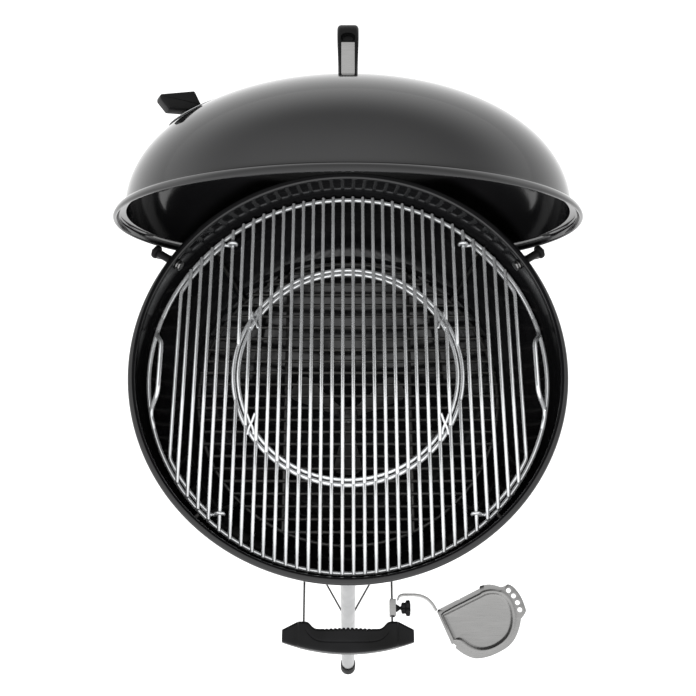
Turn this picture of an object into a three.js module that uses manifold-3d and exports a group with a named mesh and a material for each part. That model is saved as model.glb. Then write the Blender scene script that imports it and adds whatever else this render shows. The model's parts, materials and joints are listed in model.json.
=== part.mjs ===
// Kettle charcoal grill, 57 cm class, open, with its lid stowed in the cradle behind the bowl.
// Millimetres. +Z up, +X to the right of someone standing at the front handle, +Y to the back.
// Every piece is drawn about the kettle's own upright axis, with the floor at Z = 0. The outer
// group then moves the whole grill along Y, so that the origin is under the middle of its box.

import * as THREE from 'three';
import { mergeVertices } from 'three/addons/utils/BufferGeometryUtils.js';
import Module from 'manifold-3d';

const wasm = await Module();
wasm.setup();

// ---------------------------------------------------------------- driving dimensions

const GAP = 0.3;                 // clearance between pieces that touch
const BOX_CENTRE_Y = 17.95;      // middle of the whole grill, back from the kettle's axis

const RIM_Z = 809;               // top of the bowl's rolled lip
const LIP_RADIUS = 290.6;        // outside of the rolled lip
const LIP_HEIGHT = 9;
const BOWL_RADIUS = 283;         // outside of the wall just under the lip
const BOWL_DEPTH = 226;          // from the lip's underside to the bottom
const SHEET = 2;                 // enamelled sheet
const CURVE_POWER = 2.15;        // superellipse power of the bowl and of the dome
const SHELL_SEGMENTS = 36;       // facets round the bowl and the lid
const SHELL_STEPS = 8;           // facets down the bowl's and the dome's curve
const RING_SEGMENTS = 36;        // facets round the grates' rings
const ROD_SIDES = 4;             // facets round a grate's wire

const GRATE_Z = 765;             // plane of the cooking grate's ring
const GRATE_RADIUS = 270;
const RING_WIRE = 3;             // wire radii
const ROD_WIRE = 2.5;
const ROD_PITCH = 14.3;
const MAIN_RODS = 12;            // each side of the middle; the outermost carries the flap
const FLAP_RODS = 4;
const ROD_RISE = 4.6;            // rods lie on the rings
const FLAP_RISE = 5.3;           // flap and insert rods rest on the rings with clearance
const FRAME_RISE = 1.5;          // the flap's own frame, under its rods
const FLAP_SIDE_X = 234;
const FLAP_ARC_RADIUS = 263;
const HOLE_RADIUS = 155.8;
const INSERT_RADIUS = 148.8;
const HINGE_X = (MAIN_RODS - 0.5) * ROD_PITCH;

const COAL_GRATE_Z = 667;
const COAL_GRATE_RADIUS = 216;
const COAL_ROD_PITCH = 18;
const COAL_RODS = 23;
const COAL_RIB_X = 90;
const BRACKET_WIRE = 3;
const BRACKET_AZIMUTHS = [45, 135, 225, 315];

const LEG_RADIUS = 12;
const LEG_WALL = 1.6;
const FOOT_REACH = 322;          // from the kettle's axis to where a leg's line meets the floor
const LEG_SPLAY = 0.232;         // sideways run for each unit of height
const LEG_TOP_Z = 604;
const LEG_AZIMUTHS = { front: -90, rear_right: 30, rear_left: 150 };
const RACK_Z = 241;
const RACK_WIRE = 1.6;
const RACK_PITCH = 40;

const WHEEL_RADIUS = 100;
const WHEEL_X = 301;
const AXLE_RADIUS = 5;
const AXLE_Y = (FOOT_REACH - LEG_SPLAY * WHEEL_RADIUS) * Math.sin(Math.PI / 6);

const LID_CENTRE = [0, 152.2, 890.4];
const LID_LEAN = 17.7;           // degrees that the stowed lid's top leans toward the bowl
const LID_RIM_RADIUS = 298;
const DOME_RADIUS = 284;
const DOME_BASE = 10;
const DOME_HEIGHT = 165;

const DAMPER_REACH = 203;        // from the dome's axis to the damper's pivot
const DAMPER_AZIMUTH = 203;
const DAMPER_RADIUS = 38;
const DAMPER_SAG = 600;          // the disc falls by its radius squared over this, to follow the dome

const HANDLE_ARM_X = 54.5;
const ARM_THICKNESS = 2.2;
const ARM_HEIGHT = 16;
const HANDLE_Z = 765;
const SLEEVE_AZIMUTH = 32.5;     // the lid rest's right sleeve; the left one mirrors it
const SLEEVE_Z = 793;
const BOLT_RADIUS = 3.1;
const BOLT_HOLE_RADIUS = 3.5;

const CLAMP_Y = -312;
const TRAY_SHEET = 2.4;
const DISH_CENTRE = [170, -326];

const SPINDLE_RADIUS = 5;
const BLADE_REACH = 96;
const ASH_RING_RADIUS = 112;
const ASH_PAN_RADIUS = 122;
const ASH_PAN_TOP = 572;
const ASH_PAN_BOTTOM = 442;
const BAIL_DROP = 150;

// ---------------------------------------------------------------- finishes

const finish = (color, roughness, metalness) => (
  new THREE.MeshStandardMaterial({ color, roughness, metalness })
);
const enamel = () => finish(0x0b0b0c, 0.12, 0.0);
const blackWire = () => finish(0x121212, 0.4, 0.0);
const nylon = () => finish(0x1a1a1a, 0.55, 0.0);
const rubber = () => finish(0x151515, 0.8, 0.0);
const plated = () => finish(0xc9ccce, 0.2, 1.0);
const aluminium = () => finish(0xc2c4c6, 0.35, 1.0);
const stainless = () => finish(0xb9b9b7, 0.3, 1.0);

// ---------------------------------------------------------------- solids

const rad = THREE.MathUtils.degToRad;
const vec = (x, y, z = 0) => new THREE.Vector3(x, y, z);
const polar = (radius, degrees, z = 0) => (
  vec(radius * Math.cos(rad(degrees)), radius * Math.sin(rad(degrees)), z)
);
const flat = (points) => points.map(([x, y]) => new THREE.Vector2(x, y));

function signedVolume(positions, index) {
  let volume = 0;
  const corner = [vec(0, 0), vec(0, 0), vec(0, 0)];
  for (let i = 0; i < index.length; i += 3) {
    corner.forEach((point, k) => point.fromArray(positions, index[i + k] * 3));
    volume += corner[0].dot(corner[1].cross(corner[2])) / 6;
  }
  return volume;
}

// A closed three.js geometry as a solid, with its faces turned to point out.
function solid(geometry) {
  const bare = geometry.clone();
  bare.deleteAttribute('normal');
  bare.deleteAttribute('uv');
  const merged = mergeVertices(bare, 1e-4);
  const positions = merged.attributes.position.array;
  const kept = [];
  const source = merged.index.array;
  for (let i = 0; i < source.length; i += 3) {
    const [a, b, c] = [source[i], source[i + 1], source[i + 2]];
    if (a !== b && b !== c && c !== a) kept.push(a, b, c);
  }
  if (signedVolume(positions, kept) < 0) kept.reverse();
  return new wasm.Manifold(new wasm.Mesh({
    numProp: 3,
    vertProperties: new Float32Array(positions),
    triVerts: new Uint32Array(kept),
  }));
}

function join(solids) {
  return solids.reduce((whole, next) => whole.add(next));
}

function cut(whole, tools) {
  return tools.reduce((left, tool) => left.subtract(tool), whole);
}

function named(name, body, material) {
  const shape = body.isBufferGeometry ? solid(body) : body;
  const { vertProperties, triVerts, numProp } = shape.getMesh();
  const geometry = new THREE.BufferGeometry();
  const positions = new Float32Array((vertProperties.length / numProp) * 3);
  for (let i = 0; i < positions.length; i += 1) {
    positions[i] = vertProperties[Math.floor(i / 3) * numProp + (i % 3)];
  }
  geometry.setAttribute('position', new THREE.BufferAttribute(positions, 3));
  geometry.setIndex(Array.from(triVerts));
  geometry.computeVertexNormals();
  const mesh = new THREE.Mesh(geometry, material);
  mesh.name = name;
  return mesh;
}

// A profile of [radius, height] points turned about the Z axis.
function turned(profile, segments) {
  const points = profile.map(([radius, height]) => new THREE.Vector2(radius, height));
  return new THREE.LatheGeometry(points, segments).rotateX(Math.PI / 2);
}

// The same as a solid. A profile that starts on the axis ends there; any other closes on itself.
function turnedSolid(profile, segments) {
  const onAxis = profile[0][0] === 0;
  return solid(turned(onAxis ? profile : [...profile, profile[0]], segments));
}

function circlePoints(radius, sides, centre = [0, 0]) {
  return Array.from({ length: sides }, (_, i) => {
    const angle = ((i + 0.5) / sides) * 2 * Math.PI;
    return [centre[0] + radius * Math.cos(angle), centre[1] + radius * Math.sin(angle)];
  });
}

function wireRing(radius, wire, z, segments = RING_SEGMENTS, sides = ROD_SIDES) {
  return turnedSolid(circlePoints(sectionRadius(wire, sides), sides, [radius, z]), segments);
}

// A wire's faceted section has the area of the round wire.
function sectionRadius(radius, sides) {
  if (sides !== ROD_SIDES) return radius;
  return radius * Math.sqrt((2 * Math.PI) / sides / Math.sin((2 * Math.PI) / sides));
}

function circleShape(radius, sides) {
  return new THREE.Shape(flat(circlePoints(radius, sides)));
}

// A round wire or tube along a curve, closed at both ends.
function wire(curve, radius, steps, sides = ROD_SIDES) {
  const settings = { steps, extrudePath: curve, bevelEnabled: false };
  return solid(new THREE.ExtrudeGeometry(circleShape(sectionRadius(radius, sides), sides), settings));
}

function rod(from, to, radius, sides = ROD_SIDES) {
  return wire(new THREE.LineCurve3(from, to), radius, 1, sides);
}

// The point at a short reach from a corner towards its neighbour, at most half the way.
function offCorner(corner, neighbour, reach) {
  return corner.clone().lerp(neighbour, Math.min(0.5, reach / corner.distanceTo(neighbour)));
}

// A wire that runs straight between points and turns each corner with a short bend.
function bentWire(points, radius, bend, sides = ROD_SIDES) {
  const path = new THREE.CurvePath();
  let start = points[0];
  for (let i = 1; i < points.length - 1; i += 1) {
    const before = offCorner(points[i], points[i - 1], bend);
    const after = offCorner(points[i], points[i + 1], bend);
    path.add(new THREE.LineCurve3(start, before));
    path.add(new THREE.QuadraticBezierCurve3(before, points[i], after));
    start = after;
  }
  path.add(new THREE.LineCurve3(start, points[points.length - 1]));
  return sweepCorners(path, radius, sides);
}

// Sweeps along a curve path with a step at each straight's end and two steps in each bend.
function sweepCorners(path, radius, sides) {
  const samples = [];
  for (const piece of path.curves) {
    const divisions = piece.isLineCurve3 ? 1 : 2;
    for (let i = 0; i < divisions; i += 1) samples.push(piece.getPoint(i / divisions));
  }
  samples.push(path.curves[path.curves.length - 1].getPoint(1));
  return wire(polyline(samples), radius, samples.length - 1, sides);
}

// A curve whose equal steps land on the given points.
function polyline(samples) {
  const curve = new THREE.Curve();
  curve.getPoint = (t, target = new THREE.Vector3()) => {
    const along = Math.min(Math.max(t, 0), 1) * (samples.length - 1);
    const i = Math.min(Math.floor(along + 1e-9), samples.length - 2);
    return target.copy(samples[i]).lerp(samples[i + 1], along - i);
  };
  curve.getPointAt = curve.getPoint;
  curve.getTangentAt = (t, target = new THREE.Vector3()) => {
    const i = Math.round(t * (samples.length - 1));
    const ahead = samples[Math.min(i + 1, samples.length - 1)];
    const behind = samples[Math.max(i - 1, 0)];
    return target.copy(ahead).sub(behind).normalize();
  };
  return curve;
}

// Settings that round an extrusion's edges inside its outline.
function rounded(size, bevelSegments) {
  return { bevelEnabled: true, bevelThickness: size, bevelSize: size, bevelOffset: -size, bevelSegments };
}

// A flat outline in X and Y, given thickness along Z.
function plate(outline, z, thickness) {
  const shape = outline instanceof THREE.Shape ? outline : new THREE.Shape(flat(outline));
  const settings = { depth: thickness, bevelEnabled: false, curveSegments: 4 };
  return solid(new THREE.ExtrudeGeometry(shape, settings).translate(0, 0, z));
}

function block(size, centre) {
  return solid(new THREE.BoxGeometry(...size).translate(...centre));
}

function cylinderX(radius, from, to, y, z, sides = 16) {
  const length = to - from;
  const geometry = new THREE.CylinderGeometry(radius, radius, length, sides);
  return solid(geometry.rotateZ(Math.PI / 2).translate((from + to) / 2, y, z));
}

// ---------------------------------------------------------------- bowl

// Height of the bowl's surface above its bottom, on a shell smaller than the outside by inset.
function bowlPoint(turn, inset) {
  const power = 2 / CURVE_POWER;
  const radius = (BOWL_RADIUS - inset) * Math.cos(turn) ** power;
  const drop = (BOWL_DEPTH - inset) * Math.sin(turn) ** power;
  return [radius, RIM_Z - LIP_HEIGHT - drop];
}

function bowlCurve(inset, startRadius) {
  const points = [];
  for (let i = 0; i <= SHELL_STEPS; i += 1) {
    const point = bowlPoint((Math.PI / 2) * (1 - i / SHELL_STEPS), inset);
    if (point[0] > startRadius + 1) points.push(point);
  }
  const bottom = RIM_Z - LIP_HEIGHT - BOWL_DEPTH + inset;
  return [[startRadius, bottom], ...points];
}

function bowlVent(azimuth) {
  const outline = new THREE.Shape();
  outline.moveTo(34, -8);
  outline.lineTo(80, -17);
  outline.quadraticCurveTo(90, 0, 80, 17);
  outline.lineTo(34, 8);
  const tool = new THREE.ExtrudeGeometry(outline, { depth: 60, bevelEnabled: false, curveSegments: 4 });
  return solid(tool.rotateZ(rad(azimuth)).translate(0, 0, RIM_Z - LIP_HEIGHT - BOWL_DEPTH - 20));
}

function bowlBody() {
  const hole = SPINDLE_RADIUS + 1;
  const outer = bowlCurve(0, hole);
  const inner = bowlCurve(SHEET, hole).reverse();
  const lip = [
    [LIP_RADIUS - 2.5, RIM_Z - LIP_HEIGHT], [LIP_RADIUS, RIM_Z - LIP_HEIGHT + 2.5],
    [LIP_RADIUS, RIM_Z - 2.5], [LIP_RADIUS - 2.5, RIM_Z], [BOWL_RADIUS, RIM_Z],
    [BOWL_RADIUS - SHEET, RIM_Z - 2.5],
  ];
  const body = turnedSolid([...outer, ...lip, ...inner], SHELL_SEGMENTS);
  const holes = [30, 150, 270].map(bowlVent);
  for (const azimuth of [SLEEVE_AZIMUTH, 180 - SLEEVE_AZIMUTH]) {
    const inside = polar(BOWL_RADIUS - 20, azimuth, SLEEVE_Z);
    const outside = polar(BOWL_RADIUS + 20, azimuth, SLEEVE_Z);
    holes.push(rod(inside, outside, BOLT_HOLE_RADIUS, 8));
  }
  return cut(body, holes);
}

// The space that the bowl takes up, filled, and grown by a clearance.
function bowlFilled(grow) {
  return turnedSolid([[0, RIM_Z], ...bowlCurve(-grow, 0).reverse()], SHELL_SEGMENTS);
}

// The space above the bowl's inner surface, raised by a clearance.
function bowlHollow(clear) {
  return turnedSolid([[0, RIM_Z], ...bowlCurve(SHEET + clear, 0).reverse()], SHELL_SEGMENTS);
}

// ---------------------------------------------------------------- grate brackets

// A bent bar: its toe carries the charcoal grate, its shoulder the cooking grate.
function grateBracket(azimuth) {
  const toeZ = COAL_GRATE_Z - 5.8;
  const seatZ = GRATE_Z - 6.5;
  const knee = GRATE_RADIUS - 5;
  const bar = [
    rod(polar(206, 0, toeZ), polar(223, 0, toeZ), BRACKET_WIRE),
    rod(polar(221, 0, toeZ), polar(knee, 0, seatZ - 24), BRACKET_WIRE),
    rod(polar(knee, 0, seatZ - 25), polar(knee + 1, 0, seatZ), BRACKET_WIRE),
    rod(polar(knee - 8, 0, seatZ), polar(BOWL_RADIUS + 7, 0, seatZ), BRACKET_WIRE),
  ];
  return join(bar).rotate([0, 0, azimuth]).intersect(bowlHollow(GAP));
}

// ---------------------------------------------------------------- cooking grate

const halfChord = (radius, x) => Math.sqrt(Math.max(radius ** 2 - x ** 2, 0));
const rodX = (index) => (index + 0.5) * ROD_PITCH;

function mainRods() {
  const rods = [];
  for (let index = 0; index < MAIN_RODS; index += 1) {
    for (const side of [-1, 1]) {
      const x = side * rodX(index);
      const end = halfChord(GRATE_RADIUS + 3, x);
      const z = GRATE_Z + ROD_RISE;
      if (Math.abs(x) < HOLE_RADIUS) {
        const start = halfChord(HOLE_RADIUS, x) + 1;
        rods.push(rod(vec(x, start, z), vec(x, end, z), ROD_WIRE));
        rods.push(rod(vec(x, -start, z), vec(x, -end, z), ROD_WIRE));
      } else {
        rods.push(rod(vec(x, -end, z), vec(x, end, z), ROD_WIRE));
      }
    }
  }
  return rods;
}

function grateHandle(side) {
  const x = side * 252;
  const top = GRATE_Z + 24;
  const tail = side > 0 ? 0 : 180;
  return bentWire([
    polar(GRATE_RADIUS, tail - side * 16.5, GRATE_Z + 1), polar(GRATE_RADIUS, tail - side * 12, GRATE_Z + 2),
    vec(x, -36, top), vec(x, 36, top),
    polar(GRATE_RADIUS, tail + side * 12, GRATE_Z + 2), polar(GRATE_RADIUS, tail + side * 16.5, GRATE_Z + 1),
  ], ROD_WIRE, 8);
}

function cookingGrate() {
  const rings = [
    wireRing(GRATE_RADIUS, RING_WIRE, GRATE_Z),
    wireRing(HOLE_RADIUS, RING_WIRE, GRATE_Z),
  ];
  return join([...rings, ...mainRods(), grateHandle(1), grateHandle(-1)]);
}

// One flap: an outer frame of bent wire, its rods, and two hooks round the hinge rod.
function grateFlap(side) {
  const z = GRATE_Z + FRAME_RISE;
  const bend = halfChord(FLAP_ARC_RADIUS, FLAP_SIDE_X);
  const startAngle = Math.acos((HINGE_X + 11) / FLAP_ARC_RADIUS);
  const endAngle = Math.asin(bend / FLAP_ARC_RADIUS);
  const arc = (end) => Array.from({ length: 6 }, (_, i) => {
    const angle = startAngle + ((endAngle - startAngle) * i) / 5;
    return vec(side * FLAP_ARC_RADIUS * Math.cos(angle), end * FLAP_ARC_RADIUS * Math.sin(angle), z);
  });
  const frame = [...arc(-1), ...arc(1).reverse()];
  const parts = [wire(polyline(frame), ROD_WIRE, frame.length - 1)];
  for (let index = MAIN_RODS; index < MAIN_RODS + FLAP_RODS; index += 1) {
    const x = rodX(index);
    const end = halfChord(GRATE_RADIUS - 0.5, x);
    const height = GRATE_Z + FLAP_RISE;
    parts.push(rod(vec(side * x, -end, height), vec(side * x, end, height), ROD_WIRE));
  }
  for (const end of [-1, 1]) parts.push(flapHook(side, end * (FLAP_ARC_RADIUS * Math.sin(startAngle) - 1)));
  return join(parts);
}

function flapHook(side, y) {
  const radius = 5.6;
  const centreZ = GRATE_Z + ROD_RISE;
  const turns = Array.from({ length: 8 }, (_, i) => {
    const angle = rad(-60 + 38 * i);
    return vec(side * (HINGE_X + radius * Math.cos(angle)), y, centreZ + radius * Math.sin(angle));
  });
  const tail = vec(side * (HINGE_X + 13), y, GRATE_Z + FRAME_RISE);
  return wire(polyline([tail, ...turns]), 2.2, turns.length);
}

function insertRods() {
  const rods = [];
  for (let index = 0; index < 10; index += 1) {
    const x = rodX(index);
    const end = halfChord(HOLE_RADIUS, x) - 1;
    const z = GRATE_Z + FLAP_RISE;
    for (const side of [-1, 1]) rods.push(rod(vec(side * x, -end, z), vec(side * x, end, z), ROD_WIRE));
  }
  return rods;
}

// A bent wire between two rods, lying over both rings; the insert hangs by four of them.
function insertClip(sideX, sideY) {
  const x = sideX * 9 * ROD_PITCH;
  return bentWire([
    vec(x, sideY * 66, GRATE_Z + 16), vec(x, sideY * 74, GRATE_Z + 4.6), vec(x, sideY * 88, GRATE_Z + 5.2),
  ], 2.2, 4);
}

function grateInsert() {
  const ring = wireRing(INSERT_RADIUS, RING_WIRE, GRATE_Z + 1.2);
  const clips = [insertClip(1, 1), insertClip(1, -1), insertClip(-1, 1), insertClip(-1, -1)];
  return join([ring, ...insertRods(), ...clips]);
}

// ---------------------------------------------------------------- charcoal grate

function charcoalGrate() {
  const rods = [];
  for (let index = 0; index < COAL_RODS; index += 1) {
    const y = (index - (COAL_RODS - 1) / 2) * COAL_ROD_PITCH;
    const end = halfChord(COAL_GRATE_RADIUS + 1, y);
    rods.push(rod(vec(-end, y, COAL_GRATE_Z + 4), vec(end, y, COAL_GRATE_Z + 4), ROD_WIRE));
  }
  const ring = wireRing(COAL_GRATE_RADIUS, ROD_WIRE, COAL_GRATE_Z);
  const ribs = [-COAL_RIB_X, COAL_RIB_X].map((x) => {
    const end = halfChord(COAL_GRATE_RADIUS, x);
    return rod(vec(x, -end, COAL_GRATE_Z), vec(x, end, COAL_GRATE_Z), ROD_WIRE);
  });
  return join([ring, ...ribs, ...rods]);
}

// ---------------------------------------------------------------- sweeper under the bowl

const BOWL_BOTTOM = RIM_Z - LIP_HEIGHT - BOWL_DEPTH;

function ventBlade(azimuth) {
  const arm = new THREE.Shape();
  arm.moveTo(8, -6);
  arm.lineTo(30, -9);
  arm.lineTo(BLADE_REACH - 6, -21);
  arm.quadraticCurveTo(BLADE_REACH + 4, 0, BLADE_REACH - 6, 21);
  arm.lineTo(30, 9);
  arm.lineTo(8, 6);
  const settings = { depth: 60, bevelEnabled: false, curveSegments: 4 };
  const prism = solid(new THREE.ExtrudeGeometry(arm, settings).translate(0, 0, BOWL_BOTTOM - 5));
  const skin = bowlHollow(1).subtract(bowlHollow(3.2));
  return skin.intersect(prism).rotate([0, 0, azimuth]);
}

function sweeperSpindle() {
  const head = BOWL_BOTTOM + SHEET + 3.2 + 1.4;
  return turnedSolid([
    [0, BOWL_BOTTOM - 24], [SPINDLE_RADIUS, BOWL_BOTTOM - 24], [SPINDLE_RADIUS, head],
    [15, head], [15, head + 4], [9, head + 8], [0, head + 8],
  ], 20);
}

function leverBar(azimuth) {
  const z = BOWL_BOTTOM - 20;
  const outline = new THREE.Shape(flat([[-11, -9], [208, -8], [208, 8], [-11, 9]]));
  outline.holes.push(new THREE.Path(flat(circlePoints(SPINDLE_RADIUS + GAP, 20))));
  return plate(outline, z, 3).rotate([0, 0, azimuth]);
}

function leverGrip(azimuth) {
  const z = BOWL_BOTTOM - 18.5;
  const outline = new THREE.Shape();
  outline.moveTo(150, -10);
  outline.lineTo(222, -14);
  outline.quadraticCurveTo(240, 0, 222, 14);
  outline.lineTo(150, 10);
  const body = plate(outline, z - 8, 16);
  const slot = block([64 + 2 * GAP, 18, 3 + 2 * GAP], [150 + 29, 0, z]);
  return body.subtract(slot).rotate([0, 0, azimuth]);
}

// ---------------------------------------------------------------- ash system

function ashRing(leverAzimuth) {
  const wall = ASH_RING_RADIUS;
  const band = turnedSolid([
    [wall, ASH_PAN_TOP - 24], [wall + 2.5, ASH_PAN_TOP - 24], [wall + 2.5, 620], [wall, 620],
  ], 30);
  const slot = block([60, 140, 14], [wall, 0, BOWL_BOTTOM - 18.5]).rotate([0, 0, leverAzimuth]);
  return cut(band, [bowlFilled(GAP), slot]);
}

function ashPan() {
  const wall = ASH_PAN_RADIUS;
  const lip = ASH_PAN_TOP - 27;
  const floor = ASH_PAN_BOTTOM;
  return turnedSolid([
    [0, floor], [wall - 12, floor], [wall - 4, floor + 8], [wall, lip - 5],
    [wall + 4, lip - 3], [wall + 4, lip], [wall - 2, lip],
    [wall - 6, floor + 10], [wall - 13, floor + 2], [0, floor + 2],
  ], 30);
}

// A wire bail that hangs straight down, clear below the pan, and swings out past its wall.
function ashBail() {
  const pivot = ASH_PAN_TOP - 42;
  const reach = ASH_PAN_RADIUS + 8;
  const low = pivot - BAIL_DROP;
  const ends = [reach, -reach].map((x) => vec(x, 0, pivot + 3));
  const bow = bentWire([ends[0], vec(reach, 0, low), vec(-reach, 0, low), ends[1]], 2.6, 40);
  const inner = ASH_PAN_RADIUS + 2.4;
  return join([bow, cylinderX(2.4, inner, reach, 0, pivot, 8), cylinderX(2.4, -reach, -inner, 0, pivot, 8)]);
}

// ---------------------------------------------------------------- legs, wheels and rack

// A point on a leg's line at a height above the floor.
const legPoint = (azimuth, z) => polar(FOOT_REACH - LEG_SPLAY * z, azimuth, z);

function legTube(azimuth, low) {
  const outer = rod(legPoint(azimuth, low), legPoint(azimuth, LEG_TOP_Z), LEG_RADIUS, 12);
  const bore = rod(legPoint(azimuth, low - 5), legPoint(azimuth, LEG_TOP_Z + 5), LEG_RADIUS - LEG_WALL, 12);
  return outer.subtract(bore);
}

function legSocket(azimuth) {
  const along = (below, above, radius) => (
    rod(legPoint(azimuth, LEG_TOP_Z - below), legPoint(azimuth, LEG_TOP_Z + above), radius, 16)
  );
  const bore = along(60, 1, LEG_RADIUS + 0.6);
  return cut(along(56, 60, LEG_RADIUS + 3.2), [bore, bowlFilled(GAP)]);
}

function footCap(azimuth) {
  const body = rod(legPoint(azimuth, -10), legPoint(azimuth, 26), LEG_RADIUS + 2, 16);
  const seat = rod(legPoint(azimuth, 7), legPoint(azimuth, 60), LEG_RADIUS + 0.5, 16);
  const floor = block([80, 80, 40], [0, -FOOT_REACH, -20]);
  return cut(body, [seat, floor]);
}

function axleHole(radius) {
  return cylinderX(radius, -340, 340, AXLE_Y, WHEEL_RADIUS, 10);
}

function tyre(x) {
  const profile = [[79, -15], [90, -18], [98, -16], [100, -10], [100, 10], [98, 16], [90, 18], [79, 15]];
  return turnedSolid(profile, 24).rotate([0, 90, 0]).translate([x, AXLE_Y, WHEEL_RADIUS]);
}

function wheelRim(x) {
  const bore = AXLE_RADIUS + 0.4;
  const disc = turnedSolid([
    [bore, -20], [17, -20], [19, -4], [66, -4], [70, -14], [78.7, -14], [78.7, 14], [70, 14], [66, 4],
    [19, 4], [17, 20], [bore, 20],
  ], 24);
  const holes = Array.from({ length: 6 }, (_, i) => {
    const centre = polar(43, i * 60);
    return plate(circlePoints(14, 6, [centre.x, centre.y]), -10, 20);
  });
  return cut(disc, holes).rotate([0, 90, 0]).translate([x, AXLE_Y, WHEEL_RADIUS]);
}

function hubCap(x, side) {
  const cap = turnedSolid([[0, 0], [13, 0], [13, 1.5], [9, 3.5], [0, 4]], 20);
  return cap.rotate([0, side * 90, 0]).translate([x, AXLE_Y, WHEEL_RADIUS]);
}

// Three sides that end at the legs, and wires from the back side forward to the other two.
function bottomRack() {
  const corners = Object.values(LEG_AZIMUTHS).map((azimuth) => legPoint(azimuth, RACK_Z));
  const parts = corners.map((corner, i) => {
    const next = corners[(i + 1) % 3];
    const short = next.clone().sub(corner).normalize().multiplyScalar(LEG_RADIUS + 1);
    return rod(corner.clone().add(short), next.clone().sub(short), RACK_WIRE);
  });
  const front = corners[0].y;
  const back = corners[1].y;
  for (let x = RACK_PITCH; x < corners[1].x - LEG_RADIUS; x += RACK_PITCH) {
    const start = vec(x, front + x * Math.tan(rad(60)) - 1.3, RACK_Z + RACK_WIRE * 0.6);
    const end = vec(x, back + 0.9, start.z);
    for (const side of [-1, 1]) {
      parts.push(rod(vec(side * x, start.y, start.z), vec(side * x, end.y, end.z), RACK_WIRE));
    }
  }
  return join(parts);
}

// ---------------------------------------------------------------- front handle and tray

// A strip on edge, with a tab turned inward along the bowl.
function handleArm(side) {
  const x = side * HANDLE_ARM_X;
  const wall = -halfChord(BOWL_RADIUS, x);
  const end = -345;
  const strip = block([ARM_THICKNESS, wall + 6 - end, ARM_HEIGHT], [x, (wall + 6 + end) / 2, HANDLE_Z]);
  const tab = block([14, 24, ARM_HEIGHT], [x - side * (7 - ARM_THICKNESS / 2), wall + 8, HANDLE_Z]);
  const backing = bowlFilled(ARM_THICKNESS + GAP);
  return join([strip, tab.intersect(backing)]).subtract(bowlFilled(GAP));
}

function handleGrip() {
  const outline = new THREE.Shape();
  outline.moveTo(-81, -338);
  outline.lineTo(-62, -329);
  outline.lineTo(-50, -329);
  outline.lineTo(-41, -337);
  outline.lineTo(-30, -337.6);
  outline.quadraticCurveTo(0, -331.2, 30, -337.6);
  outline.lineTo(41, -337);
  outline.lineTo(50, -329);
  outline.lineTo(62, -329);
  outline.lineTo(81, -338);
  outline.lineTo(81, -353);
  outline.quadraticCurveTo(0, -379, -81, -353);
  const settings = { depth: 18, curveSegments: 8, ...rounded(4, 2) };
  const body = solid(new THREE.ExtrudeGeometry(outline, settings).translate(0, 0, HANDLE_Z - 9));
  const slots = [-1, 1].map((side) => (
    block([ARM_THICKNESS + 2 * GAP, 50, ARM_HEIGHT + 2 * GAP], [side * HANDLE_ARM_X, -320.4, HANDLE_Z])
  ));
  return cut(body, slots);
}

// A clip over the top edge of the handle's right arm, with a wall on each side of it.
function trayClamp() {
  const x = HANDLE_ARM_X;
  const shell = block([7.8, 20, 19], [x + 0.8, CLAMP_Y, HANDLE_Z + 1]);
  const slot = block([ARM_THICKNESS + 2 * GAP, 30, 30], [x, CLAMP_Y, HANDLE_Z + ARM_HEIGHT / 2 + GAP - 15]);
  const screwHole = cylinderX(2.4, x + 1.2, x + 20, CLAMP_Y, HANDLE_Z, 10);
  return cut(shell, [slot, screwHole]);
}

// A screw whose head starts as a cone, narrows to a waist, and ends in six lobes.
function thumbKnob() {
  const x = HANDLE_ARM_X + ARM_THICKNESS / 2 + GAP;
  const profile = [[0, 0], [2, 0], [2, 3.6], [5, 3.6], [2.4, 9], [5.6, 10.4], [6.4, 21.4], [0, 21.4]];
  const core = turnedSolid(profile, 12).rotate([0, 90, 0]).translate([x, CLAMP_Y, HANDLE_Z]);
  const lobes = Array.from({ length: 6 }, (_, i) => {
    const at = polar(6.4, i * 60);
    return cylinderX(3, x + 14.5, x + 21.4, CLAMP_Y + at.x, HANDLE_Z + at.y, 8);
  });
  return join([core, ...lobes]);
}

function trayArm() {
  const route = [
    [60.6, -302.5], [62.6, -296.6], [66, -295.4], [88, -295.4], [98, -300], [105, -307.2], [109, -313.5],
  ];
  const width = 1.2;
  const left = [];
  const right = [];
  route.forEach(([x, y], i) => {
    const before = route[Math.max(i - 1, 0)];
    const after = route[Math.min(i + 1, route.length - 1)];
    const direction = new THREE.Vector2(after[0] - before[0], after[1] - before[1]).normalize();
    left.push([x - direction.y * width, y + direction.x * width]);
    right.push([x + direction.y * width, y - direction.x * width]);
  });
  return plate([...left, ...right.reverse()], HANDLE_Z - 6, 12);
}

function trayOutline() {
  const outline = new THREE.Shape();
  outline.moveTo(111.6, -313.9);
  outline.lineTo(164, -288.2);
  outline.lineTo(164.7, -285.3);
  outline.quadraticCurveTo(177, -280.5, 190, -286);
  outline.quadraticCurveTo(194, -286.5, 199.5, -283);
  outline.quadraticCurveTo(205, -282, 213, -293.5);
  outline.quadraticCurveTo(218, -301, 221, -315);
  outline.quadraticCurveTo(219, -320, 214, -325);
  outline.quadraticCurveTo(212.5, -333, 209, -341);
  outline.quadraticCurveTo(203, -355, 191, -361.3);
  outline.quadraticCurveTo(171, -372.6, 155, -372);
  outline.quadraticCurveTo(143, -370, 131.4, -359.6);
  outline.lineTo(132.4, -356.7);
  outline.lineTo(129, -354.5);
  outline.lineTo(127.2, -355.6);
  outline.lineTo(110.4, -316.8);
  return outline;
}

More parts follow.
